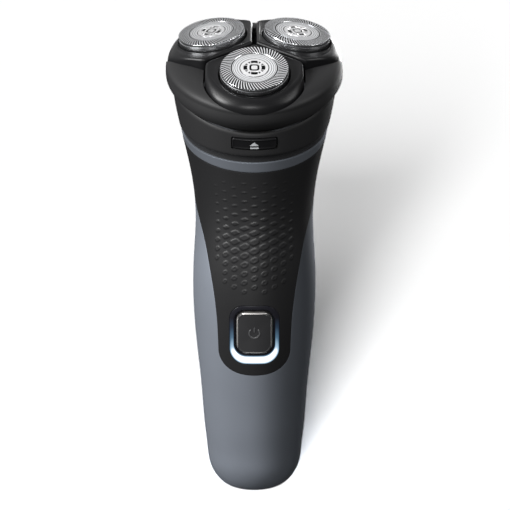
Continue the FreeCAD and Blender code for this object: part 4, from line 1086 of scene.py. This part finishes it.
# %% Plan of a pocket
PETAL_RADIUS, GROOVE, PETAL_FLOOR, CAP_STAND = 15.6, 1.3, 9.8, 2.5
PLAN_WIDER, PLAN_FRONT, PLAN_POWER = 0.8, 0.6, 2.15
POCKET_FLOOR = PETAL_FLOOR + 0.9


def soft_least(*reaches, sharp=26):
    """Smallest of several distances with a soft corner: a high power mean of 1/r."""
    return sum(np.maximum(r, 1e-3) ** -float(sharp) for r in reaches) ** (-1 / sharp)


def plan_reach(angle, extra=0.0, groove=GROOVE):
    """Distance from the cap's centre to the pocket's plan, in the head's frame."""
    across, along = np.abs(np.cos(angle)), np.sin(angle)
    radius = PETAL_RADIUS + extra
    wide, front = radius + PLAN_WIDER, radius - PLAN_FRONT
    bow = ((across / wide) ** PLAN_POWER + (np.abs(along) / front) ** PLAN_POWER)
    side = np.where(along > 0, wide / np.maximum(across, 1e-3), bow ** (-1 / PLAN_POWER))
    lean = along + across / math.sqrt(3)
    apex = HEAD_RADIUS - groove / math.sqrt(3) + extra
    valley = np.where(lean > 0.02, apex / np.maximum(lean, 0.02), 1e3)
    return side, valley


pocket_turn = circle(180)
side, valley = plan_reach(pocket_turn, 0.35, -6.0)
reach = soft_least(side, valley, sharp=40)
block = np.array([polar(part * reach, pocket_turn, height) - (0, HEAD_RADIUS, 0)
                  for part, height in ((0, -POCKET_FLOOR), (1, -POCKET_FLOOR), (1, 4.0), (0, 4.0))])
carve(skirt, *[grid_piece(f"pocket_cutter_{index}", placed(HEAD_FRAMES[index], block))
               for index in range(3)])
dress(skirt, "shaving_unit", neck_black, "unit_skirt", 36)

# %% [markdown]
# ## Where a pocket meets the head's outer form
# A pocket's wall goes on with the form of the head. Seen from the cap's centre, that
# form has no formula of its own, but it is easy to say whether a point lies inside.

# %% Reach to the outer form
def outer_reach(index, angle, depth):
    """Distance from the cap's centre to the head's outer form at a depth. It is found
    by halving an interval: is this point inside or outside the lobed section?"""
    centre = placed(turn("Z", THIRD_TURN * index), np.array((0.0, -HEAD_RADIUS, 0.0)))
    heading = angle + THIRD_TURN * index
    low, high = np.full(angle.shape, 2.0), np.full(angle.shape, 45.0)
    mean, lobe, forward = unit_section(depth)
    for _ in range(26):
        middle = (low + high) / 2
        x = centre[0] + middle * np.cos(heading)
        y = centre[1] + middle * np.sin(heading) + forward
        edge = mean + lobe * np.cos(3 * (np.arctan2(y, x) + math.pi / 2))
        outside = np.hypot(x, y) > edge
        low, high = np.where(outside, low, middle), np.where(outside, middle, high)
    return low


ahead = outer_reach(0, np.array([-math.pi / 2]), np.array([5.0]))
print("the front cap's centre is", round(float(ahead[0]), 2), "mm behind the head's edge")

# %% [markdown]
# ## The pockets
# A pocket is a plate parallel to its cap, with a rounded rim and a wall that follows
# the head's outer form. The rows run from the seat of the cap over the plate and the
# rim, down the wall and back under the plate, and close on themselves.

# %% Pocket meshes
SEAT_RADIUS, RIM, POCKET_WALL = 11.75, 1.0, 1.4
PETAL_COLUMNS = 240
FLANK_LEAN, FLANK_FROM, FLANK_TALL = 0.25, 8.6, 4.0


def lid_height(y):
    """Height of the plate, which is parallel to the cap, at a place in the head frame."""
    return (-CAP_STAND + math.sin(CAP_LEAN) * (y + HEAD_RADIUS)) / math.cos(CAP_LEAN)


def pocket_mesh(index):
    """Seat wall, lip, plate, rim, outer wall and underside of one pocket."""
    angle = circle(PETAL_COLUMNS)
    side, valley = plan_reach(angle)

    def reach_at(height):
        """The plan, drawn in towards the top in front, and cut by the outer form."""
        frontness = 0.25 + 0.75 * np.clip(-np.sin(angle), 0, 1)
        drawn_in = FLANK_LEAN * frontness * np.clip(height + FLANK_FROM, 0.0, FLANK_TALL)
        return soft_least(side - drawn_in, valley, outer_reach(index, angle, -height))

    height = np.full(angle.shape, -5.0)
    for _ in range(12):
        reach = reach_at(height)
        height = lid_height(reach * np.sin(angle) - HEAD_RADIUS)
    top, top_reach = height, reach

    def row(reach, height):
        """A closed row about the cap's centre, in the head's frame."""
        return polar(reach, angle, height) - (0, HEAD_RADIUS, 0)

    def seat(radius, drop):
        """A circle about the cap's axis, below its plane."""
        return placed(CAP_IN_HEAD, polar(radius, angle, -CAP_STAND - drop))

    rows = [seat(SEAT_RADIUS, 3.0), seat(SEAT_RADIUS, 0.45), seat(SEAT_RADIUS + 0.06, 0.2),
            seat(SEAT_RADIUS + 0.3, 0.02)]
    inner = seat(SEAT_RADIUS + 0.45, 0.0)
    edge = row(top_reach - RIM, top)
    for part in np.linspace(0, 1, 9):
        swell = 0.16 * math.sin(math.pi * part)
        rows.append(inner + part * (edge - inner) - (0, 0, swell))
    rows[-1] = edge
    for a in np.radians((18, 36, 54, 72, 90)):
        drop, drawn = RIM * (1 - math.cos(a)), RIM * (1 - math.sin(a))
        rows.append(row(reach_at(top - drop) - drawn, top - drop))
    foot_height = np.full(angle.shape, -PETAL_FLOOR)
    for part in np.linspace(0, 1, 14)[1:]:
        down = top - RIM + part * (foot_height - top + RIM)
        rows.append(row(reach_at(down), down))
    under = reach_at(foot_height) - POCKET_WALL
    rows += [row(under, foot_height), row(under, foot_height + 2.5)]
    return np.array(rows)


for index, head in enumerate(HEADS):
    petal = grid_piece(f"pocket_plate_{head}", placed(HEAD_FRAMES[index], pocket_mesh(index)),
                       wrap_rows=True)
    dress(petal, f"pocket_{head}", petal_black, f"petal_{head}", 42)

# %% [markdown]
# ## Shaving caps
# Each cap is a polished steel disc with about sixty fine slots in its outer ring. The
# slots are real grooves: every slot has four columns of points, two on the plate and two
# at the bottom of the groove, so its walls are steep. A number on the mesh marks the
# groove, and the finish paints shade there, near black, as the space under a real slot
# lies in shade. The wide groove and the track's three fine rings get painted shade too.

# %% Brushed steel with painted shade in the slots
def cap_finish(name, colour, rough, lines):
    """Polished metal: rings of fine noise read from the piece's own map, and painted shade, near
    black, where the slot number marks a groove.
    """
    material, tree, shader = nodes_of(name)
    own_map = add(tree, "UVMap", uv_map="polar")
    mapping = add(tree, "Mapping", Scale=(2.0, lines, 1))
    noise = add(tree, "TexNoise", Scale=1.0, Detail=3.0)
    slot = add(tree, "Attribute", attribute_name="slot")
    tone = mix(tree, [c * 0.82 for c in colour], colour)
    # Painted shade: where the slot number is 1 the colour goes near black, as shade fills the
    # grooves.
    painted_shade = mix(tree, colour, (0.006, 0.006, 0.007))
    gloss = add(tree, "MapRange", To_Min=rough - 0.06, To_Max=rough + 0.08)
    bump = add(tree, "Bump", Strength=0.15, Distance=0.012 * MM)
    wire(tree, (own_map, "UV", mapping, "Vector"), (mapping, "Vector", noise, "Vector"),
         (noise, "Fac", tone, 0), (tone, 2, painted_shade, 6), (slot, "Fac", painted_shade, 0),
         (painted_shade, 2, shader, "Base Color"), (noise, "Fac", gloss, "Value"),
         (gloss, "Result", shader, "Roughness"), (noise, "Fac", bump, "Height"),
         (bump, "Normal", shader, "Normal"))
    give(shader, Metallic=1.0)
    return material


cap_steel = cap_finish("cap_steel", (0.88, 0.89, 0.91), 0.24, 160.0)
hub_chrome = cap_finish("hub_chrome", (0.95, 0.95, 0.96), 0.27, 60.0)


MAP_TURNS, MAP_SPAN, MAP_DROP = 4, 10.0, 0.35


def metal_disc(kind, head, grid, painted_shade, finish, replaces, wrap_rows=False):
    """A turned piece on a cap's axis, with its painted shade and a map of turn and radius."""
    matrix = CAP_FRAMES[HEADS.index(head)]
    disc = grid_piece(f"{kind}_{head}", placed(matrix, grid), wrap_rows)
    mesh = disc.data
    local = placed(np.linalg.inv(matrix), points_of(mesh))
    # The slot number is painted shade, darkest in the grooves and windows.
    point_number(mesh, "slot", painted_shade(local))
    corner = np.zeros(len(mesh.loops), int)
    mesh.loops.foreach_get("vertex_index", corner)
    around = np.arctan2(local[:, 1], local[:, 0]) / (2 * math.pi)
    radius = np.hypot(local[:, 0], local[:, 1]) + MAP_DROP * local[:, 2]
    uv = np.stack([np.abs(around[corner]) * MAP_TURNS, radius[corner] / MAP_SPAN], -1)
    mesh.uv_layers.new(name="polar").data.foreach_set("uv", uv.ravel().astype(np.float32))
    dress(disc, f"pocket_{head}", finish, f"{replaces}_{head}", 30)


# %% [markdown]
# ## The section of a cap
# From the hub outwards: a bright track with three fine rings, a wide groove, the ring of
# slots, and the rim, which rolls down and steps in. Where it crosses the slots, the rows
# go down and up again, four columns to a slot.

# %% Cap meshes
CAP_RADIUS = 11.25
SLOTS, SLOT_DEPTH = 64, 0.42
FINE_RINGS = (5.64, 6.34, 6.97)
SLOT_FROM, SLOT_TO = 0.699 * CAP_RADIUS, 0.992 * CAP_RADIUS
CAP_SECTION = np.array([
    # radius and height of the cap's section, from the hub over the face and down the rim
    (3.2, -1.1), (3.2, -0.3), (4.82, -0.30), (4.86, -0.06), (4.94, -0.03), (5.50, -0.02),
    (5.56, -0.03), (5.72, -0.03), (5.78, -0.02), (6.20, -0.02), (6.26, -0.03), (6.42, -0.03),
    (6.48, -0.02), (6.84, -0.02), (6.90, -0.03), (7.04, -0.03), (7.10, -0.03), (7.30, -0.04),
    (7.34, -0.32), (7.66, -0.32), (7.70, -0.06), (7.76, 0.0), (7.84, 0.0), (7.88, 0.0),
    (9.2, 0.0), (10.2, -0.02), (10.82, -0.03), (10.86, -0.035),
    (10.98, -0.06), (11.12, -0.14), (11.2, -0.26), (11.22, -0.42), (11.22, -0.95),
    (11.10, -1.02), (11.10, -1.16), (11.25, -1.24), (11.25, -3.9), (11.15, -4.1),
    (10.5, -4.1), (10.4, -1.1),
])


def cap_painted_shade(local):
    """Painted shade: 1 at the bottom of the slots and wide grooves, 0.6 on the track's fine rings.
    """
    radius, height = np.hypot(local[:, 0], local[:, 1]), local[:, 2]
    deep = (radius < SLOT_TO + 0.02) & (height < -0.25) & (height > -0.8)
    nearest = np.min([np.abs(radius - ring) for ring in FINE_RINGS], axis=0)
    return deep + 0.6 * ((nearest < 0.1) & (height > -0.2))


def cap_grid():
    """Section turned about the cap's axis; grooves lower the rows between two radii."""
    step = 2 * math.pi / SLOTS
    in_step = np.array((0.0, 0.20, 0.22, 0.78, 0.80)) - 0.5
    angle = (np.arange(SLOTS)[:, None] * step + in_step * step).ravel()
    groove = np.tile((0.0, 0.0, 1.0, 1.0, 0.0), SLOTS)
    radius, height = CAP_SECTION.T
    in_slot = (radius > SLOT_FROM) & (radius < SLOT_TO) & (height > -0.2)
    drop = in_slot[:, None] * groove * SLOT_DEPTH
    swirl = angle + 0.05 * (radius[:, None] - SLOT_FROM) * in_slot[:, None]
    return polar(radius[:, None], swirl, height[:, None] - drop)


for head in HEADS:
    metal_disc("steel_cap", head, cap_grid(), cap_painted_shade, cap_steel, "shaving_cap",
               wrap_rows=True)

# %% [markdown]
# ## Hub discs
# The bright disc in the middle of each cap has a ring of small windows round a rounded
# square. Again the windows are part of the surface: it drops wherever the pattern's own
# formula says so, and the same number paints shade into the finish there, as the
# windows lie in shade.

# %% Hub meshes
HUB_RADIUS, WINDOW_DEPTH = 4.6, 0.22


def hub_windows(x, y):
    """1 inside a window: a square ring in the middle, blocks and arcs round it."""
    radius, angle = np.hypot(x, y), np.arctan2(y, x)
    square = (np.abs(x) ** 4 + np.abs(y) ** 4) ** 0.25
    rim = (square > 1.02) & (square < 1.62)
    quarter = np.abs(np.mod(angle + math.pi / 4, math.pi / 2) - math.pi / 4)
    blocks = (radius > 2.40) & (radius < 3.60) & (quarter * radius < 1.10)
    arcs = (radius > 2.65) & (radius < 3.40) & (quarter * radius > 1.45)
    arcs &= quarter < math.radians(38)
    return (rim | blocks | arcs).astype(float)


def hub_painted_shade(local):
    """Painted shade: 1 in the windows, and 0 on the plate and under it."""
    return hub_windows(local[:, 0], local[:, 1]) * (local[:, 2] > -0.2)


def hub_grid():
    """Fine polar grid whose height is the gentle dome less the windows' depth."""
    radius = np.concatenate([np.linspace(0.0, 3.7, 76), (3.9, 4.15, 4.35, 4.5, 4.58, 4.6)])
    angle = circle(240)
    x, y = radius[:, None] * np.cos(angle), radius[:, None] * np.sin(angle)
    dome = 0.15 - 0.10 * (radius[:, None] / HUB_RADIUS) ** 2
    edge = np.interp(radius, (4.35, 4.5, 4.58, 4.6), (0, 0.015, 0.05, 0.10))[:, None]
    face = np.stack([x, y, dome - edge - WINDOW_DEPTH * hub_windows(x, y)], -1)
    under = np.array([(HUB_RADIUS, -0.25), (2.0, -0.28), (0.0, -0.28)])
    return np.concatenate([face, polar(under[:, :1], angle, under[:, 1:])])


for head in HEADS:
    metal_disc("hub_disc", head, hub_grid(), hub_painted_shade, hub_chrome, "cap_hub")

# %% [markdown]
# ## The hinge at the back
# The head swings on a pin behind the neck. One knuckle belongs to the neck, the two
# beside it to the head. Each is the same drop-shaped outline, round about the pin and
# drawn out towards the part that it grows from, carried along the pin.

# %% Hinge knuckles
PIN_BACK, PIN_DROP, KNUCKLE, FOOT_HALF = 26.6, 16.2, 1.7, 1.15


def knuckle(x_from, x_to, toward):
    """Outline: a circle about the pin joined to two points on its own part."""
    around = np.linspace(math.radians(-100), math.radians(100), 24)
    heading = math.atan2(toward[1], toward[0]) + math.pi
    arc = KNUCKLE * np.stack([np.cos(around + heading), np.sin(around + heading)], -1)
    across = np.array((-toward[1], toward[0])) / np.hypot(*toward) * FOOT_HALF
    loop = np.concatenate([arc, [np.array(toward) - across], [np.array(toward) + across]])
    middle = loop.mean(0)
    ends = ((0.0, 0.0), (0.88, 0.0), (0.97, 0.08), (1.0, 0.3))
    rows = [(part, x_from + inset) for part, inset in ends]
    rows += [(part, x_to - inset) for part, inset in ends[::-1]]
    made = [np.concatenate([np.full((len(loop), 1), x), middle + part * (loop - middle)], 1)
            for part, x in rows]
    return placed(UNIT, np.array(made) + (0, PIN_BACK, -PIN_DROP))


for name, body, x_from, x_to, toward in (
        ("neck_knuckle", "handle", -3.75, 3.75, (-2.6, -0.9)),
        ("head_knuckle_right", "shaving_unit", 4.1, 7.55, (-0.7, 5.2)),
        ("head_knuckle_left", "shaving_unit", -7.55, -4.1, (-0.7, 5.2))):
    dress(grid_piece(name, knuckle(x_from, x_to, toward)), body, neck_black)

# %% [markdown]
# ## The pop-up trimmer
# A cover lies flush in the back of the handle and carries the comb. It uses the rows of
# outlines again, this time on the back of the handle, and has four ribs for the thumb.

# %% Trimmer cover
# The moving blade slides on the cover's upper end, so the cover stops just short of it.
ARM_TOP = arm_high[2] - 0.08
ARM_Z, ARM_HALF_Z = (ARM_TOP + arm_low[2]) / 2, (ARM_TOP - arm_low[2]) / 2
arm_rows = [(0.0, 0.0, -3.6), (0.0, 1, -3.6), (0.0, 1, -0.5), (0.06, 1, -0.26), (0.2, 1, -0.1),
            (0.42, 1, -0.02), (0.7, 1, 0.0)]
arm_rows += [(0.7, s, 0.0) for s in np.linspace(0.96, 0.0, 14)]
arm_grid = pad_rows(ARM_HALF, ARM_HALF_Z, 1.4, arm_rows, behind, (0, ARM_Z), 220)
arm_grid[:2, :, 1] = arm_low[1] + 0.05
arm = grid_piece("trimmer_cover", arm_grid)
dress(arm, "trimmer", neck_black, "trimmer_arm", 50)


def back_line(z, half_length, proud):
    """A level line across the handle's back."""
    return laid_on(behind, np.linspace(-half_length, half_length, 22), z, proud)


GRIP_TOP, GRIP_STEP, GRIP_HALF, GRIP_TAPER = arm_high[2] - 3.6, 1.5, 5.2, 0.35
grip = ribs("trimmer_grip_ribs", [
    back_line(GRIP_TOP - GRIP_STEP * k, GRIP_HALF - GRIP_TAPER * k, 0.02) for k in range(4)],
    0.34, 0.26)
dress(grip, "trimmer", neck_black)

# %% [markdown]
# ## The slide switch
# A pad that rides on the handle's back, a little hollow, with five ribs for the thumb.
# Behind its slot a thin plate keeps dust out and hides the parts inside.

# %% Slide switch
(PAD_HALF_X, _, PAD_HALF_Z), (_, _, PAD_Z) = half_and_middle("trimmer_switch")
pad_profile = [(0.0, 0.0, 0.4), (0.0, 1, 0.4), (0.02, 1, 0.75), (0.15, 1, 1.1),
               (0.45, 1, 1.3), (0.9, 1, 1.35)]
pad_profile += [(0.9, s, 1.35 - 0.25 * (1 - s)) for s in (0.85, 0.65, 0.45, 0.25, 0.0)]
switch = grid_piece("slide_switch", pad_rows(PAD_HALF_X, PAD_HALF_Z, 1.8, pad_profile, behind,
                                             (0, PAD_Z), 120))
dress(switch, "trimmer_switch", petal_black, "trimmer_switch", 50)
PAD_RIB_STEP, PAD_RIB_HALF, PAD_RIB_TAPER = 1.25, 3.9, 0.25
switch_ribs = ribs("slide_switch_ribs", [
    back_line(PAD_Z + PAD_RIB_STEP * k, PAD_RIB_HALF - PAD_RIB_TAPER * abs(k), 1.17)
    for k in range(-2, 3)], 0.3, 0.3)
dress(switch_ribs, "trimmer_switch", petal_black)
plate_profile = [(0.0, part, out) for part, out in
                 ((0.0, -2.5), (1, -2.5), (1, -2.1), (0.5, -2.1), (0.0, -2.1))]
dust_plate = grid_piece("slot_dust_plate", pad_rows(
    SLOT_HALF_X + 0.6, SLOT_HALF_Z + 0.6, 1.4, plate_profile, behind, (0, SLOT_Z), 60))
dress(dust_plate, "handle", neck_black)

# %% [markdown]
# ## Finishes of the parts inside
# Gears, battery, board and frame keep their CAD shape. They show when the head or the
# trimmer is open, so each gets the skin of its own material.

# %% Give the CAD parts their finishes
inner_grey = skin("inner_plastic", (0.045, 0.047, 0.052), 0.1, 0.5, 0.06, depth=0.03)
gear_white = skin("gear_nylon", (0.62, 0.60, 0.54), 0.05, 0.42, 0.05, depth=0.02, specular=0.4)
seal_black = skin("seal_rubber", (0.02, 0.02, 0.02), 0.15, 0.7, 0.06, depth=0.04, specular=0.3)
wrap_green = skin("battery_wrap", (0.05, 0.20, 0.13), 0.08, 0.3, 0.05, depth=0.01, coat=0.2)
board_green = skin("circuit_board", (0.015, 0.10, 0.05), 0.15, 0.42, 0.06, grain=900, depth=0.03)
contact_gold = skin("contact_metal", (0.72, 0.58, 0.30), 0.06, 0.25, 0.06, metal=1.0,
                    depth=0.01)
motor_grey = skin("motor_steel", (0.52, 0.53, 0.55), 0.08, 0.32, 0.07, metal=1.0, grain=1200,
                  depth=0.015, stretch=(1, 1, 0.1))
blade_steel = skin("blade_steel", (0.45, 0.46, 0.48), 0.06, 0.34, 0.06, metal=1.0, grain=900,
                   depth=0.012, stretch=(0.15, 1, 1))
lamp_white = skin("lamp", (0.75, 0.76, 0.72), 0.04, 0.3, 0.05, depth=0.01)
BY_SLOT = {
    "steel_grey": shell_grey, "black_plastic": neck_black, "light_guide": lit_lens,
    "cap_steel": blade_steel, "hub_chrome": blade_steel, "inner_plastic": inner_grey,
    "gear_nylon": gear_white, "seal_rubber": seal_black, "battery_wrap": wrap_green,
    "circuit_board": board_green, "contact_metal": contact_gold, "motor_steel": motor_grey,
    "lamp": lamp_white,
}
slot_of = {part["node"]: part["material_slot"] for part in frame["record"]["subparts"]}
kept = 0
for name, obj in frame["nodes"].items():
    if obj.hide_render:
        continue
    finish = BY_SLOT[slot_of.get(name, "inner_plastic")]
    if not obj.data.materials:
        obj.data.materials.append(finish)
    for place in obj.material_slots:
        place.material = finish
    kept += 1
print(f"{kept} CAD parts keep their shape, {len(pieces)} new pieces")

# %% [markdown]
# ## Floor and light
# As in a small product studio. A soft box on the left draws the long highlight of the
# handle, a weak one on the right lifts the black parts, one behind shows the back, and a
# large one above lights the bright steel alone. A broad low lamp in front, a little to
# the left, throws the soft shadow on the floor. The floor gives little light back to the
# object, and shows white where the lamp reaches it.

# %% Floor
def grey(value):
    """The same amount of red, green and blue."""
    return (value, value, value)


def camera_switch(tree, other, seen):
    """One grey for the camera's own rays, another for all the rest."""
    choice = mix(tree, grey(other), grey(seen))
    wire(tree, (add(tree, "LightPath"), "Is Camera Ray", choice, 0))
    return choice


def stage_floor(bounce, shown):
    """A round sheet: rings of points whose radius grows by the square."""
    radius = 6.0 * np.linspace(0, 1, 12) ** 2 / MM
    floor = grid_piece("studio_floor", polar(radius[:, None], circle(64), -0.02), closed=False)
    material, tree, _ = nodes_of("floor_paper")
    paper = add(tree, "BsdfDiffuse")
    wire(tree, (camera_switch(tree, bounce, shown), 2, paper, "Color"),
         (paper, "BSDF", tree.nodes["Material Output"], "Surface"))
    floor.data.materials.append(material)
    return floor


floor = stage_floor(0.2, 8.4)
print("floor of", len(floor.data.polygons), "faces")

# %% [markdown]
# ## Soft boxes and the lamp
# Each soft box is a square lamp that faces the middle of the handle, with its side in
# metres and its power in watts.

# %% Lamps
AIM = Vector((0, 0, 0.09))


def aimed(name, data, where):
    """A lamp that faces the middle of the handle."""
    obj = bpy.data.objects.new(name, data)
    bpy.context.scene.collection.objects.link(obj)
    obj.location = where
    obj.rotation_euler = (AIM - Vector(where)).to_track_quat("-Z", "Y").to_euler()
    return obj


def soft_box(name, where, side, power):
    """A square lamp of a given side and power."""
    data = bpy.data.lights.new(name, "AREA")
    data.size, data.energy = side, power
    return aimed(name, data, where)


key = soft_box("key_left", (-0.92, -0.50, 0.66), 0.5, 36.0)
fill = soft_box("fill_right", (0.85, -0.35, 0.65), 0.5, 6.0)
back = soft_box("back_soft", (0.45, 1.0, 0.22), 0.7, 20.0)
top = soft_box("top_soft", (0.0, 0.1, 1.1), 1.2, 1.6)
lamp = bpy.data.lights.new("front_lamp", "SUN")
lamp.energy, lamp.angle = 1.53, math.radians(15)
front_turn, front_rise = math.radians(7), math.radians(13)
aimed("front_lamp", lamp, AIM + Vector((-math.sin(front_turn), -math.cos(front_turn),
                                        math.tan(front_rise))))
print(len(bpy.data.lights), "lamps")

# %% [markdown]
# ## What each box reaches
# The boxes would throw shadows of their own, the right one only lifts the blacks, the
# caps would mirror the one behind, and the one above is for the bright steel alone.

# %% Light linking
def light_only(box, *objects):
    """Let a soft box light these objects and nothing else."""
    group = bpy.data.collections.new("linked_to_" + box.name)
    for obj in objects:
        group.objects.link(obj)
    box.light_linking.receiver_collection = group
    return group


def spare(box, *objects):
    """Take the objects out of what a soft box lights."""
    for entry in light_only(box, *objects).collection_objects:
        entry.light_linking.link_state = "EXCLUDE"


spare(key, floor)
spare(fill, floor, shell)
bright = [bpy.data.objects[f"{piece}_{head}"] for piece in ("steel_cap", "hub_disc")
          for head in HEADS]
spare(back, floor, *bright)
light_only(top, *bright)
print("the top box lights", [obj.name for obj in bright])

# %% [markdown]
# ## The air around
# A dim sky, brighter behind and above, is what the caps mirror. Its brightness follows
# how far a direction leans towards the brightest spot. The camera sees plain white, and
# mirror rays see the sky at full strength, while its soft light is a small part.

# %% World
world = bpy.data.worlds.new("studio_air")
bpy.context.scene.world = world
world.use_nodes = True
air = world.node_tree
heading = add(air, "TexCoord")
lean = add(air, "VectorMath", operation="DOT_PRODUCT")
lean.inputs[1].default_value = (-0.30, 0.50, 0.81)
dome = add(air, "ValToRGB")
stops = dome.color_ramp.elements
stops[0].color, stops[1].color = (*grey(0.005), 1), (*grey(0.62), 1)
for position, value in ((0.3, 0.03), (0.6, 0.26), (0.8, 0.75)):
    stops.new(position).color = (*grey(value), 1)
shown = camera_switch(air, 0.0, 1.0)
kinds = add(air, "LightPath")
either = add(air, "Math", operation="MAXIMUM")
dim = add(air, "MapRange", To_Min=0.03, To_Max=1.0)
background = air.nodes["Background"]
wire(air, (heading, "Generated", lean, 0), (lean, "Value", dome, "Fac"),
     (dome, "Color", shown, 6), (shown, 2, background, "Color"),
     (kinds, "Is Camera Ray", either, 0), (kinds, "Is Glossy Ray", either, 1),
     (either, 0, dim, "Value"), (dim, "Result", background, "Strength"))
bpy.context.scene.view_settings.view_transform = "Standard"
print("sky of", len(stops), "stops")

# %% [markdown]
# ## The camera
# A long lens from a little over half a metre, looking down by 16 degrees, as one holds a
# shaver up to look at it. All of it stays sharp.

# %% Camera
LOOK_DOWN = 16.06
camera_data = bpy.data.cameras.new("studio_camera")
camera = bpy.data.objects.new("studio_camera", camera_data)
bpy.context.scene.collection.objects.link(camera)
camera.location = (0.0002, -0.5699, 0.24805)
camera.rotation_euler = (math.radians(90 - LOOK_DOWN), 0, 0)
camera_data.lens, camera_data.sensor_width = 121.05, 36.0
camera_data.dof.use_dof = False
bpy.context.scene.camera = camera
print("camera", round(camera.location.length, 3), "m from the foot, lens", camera_data.lens)
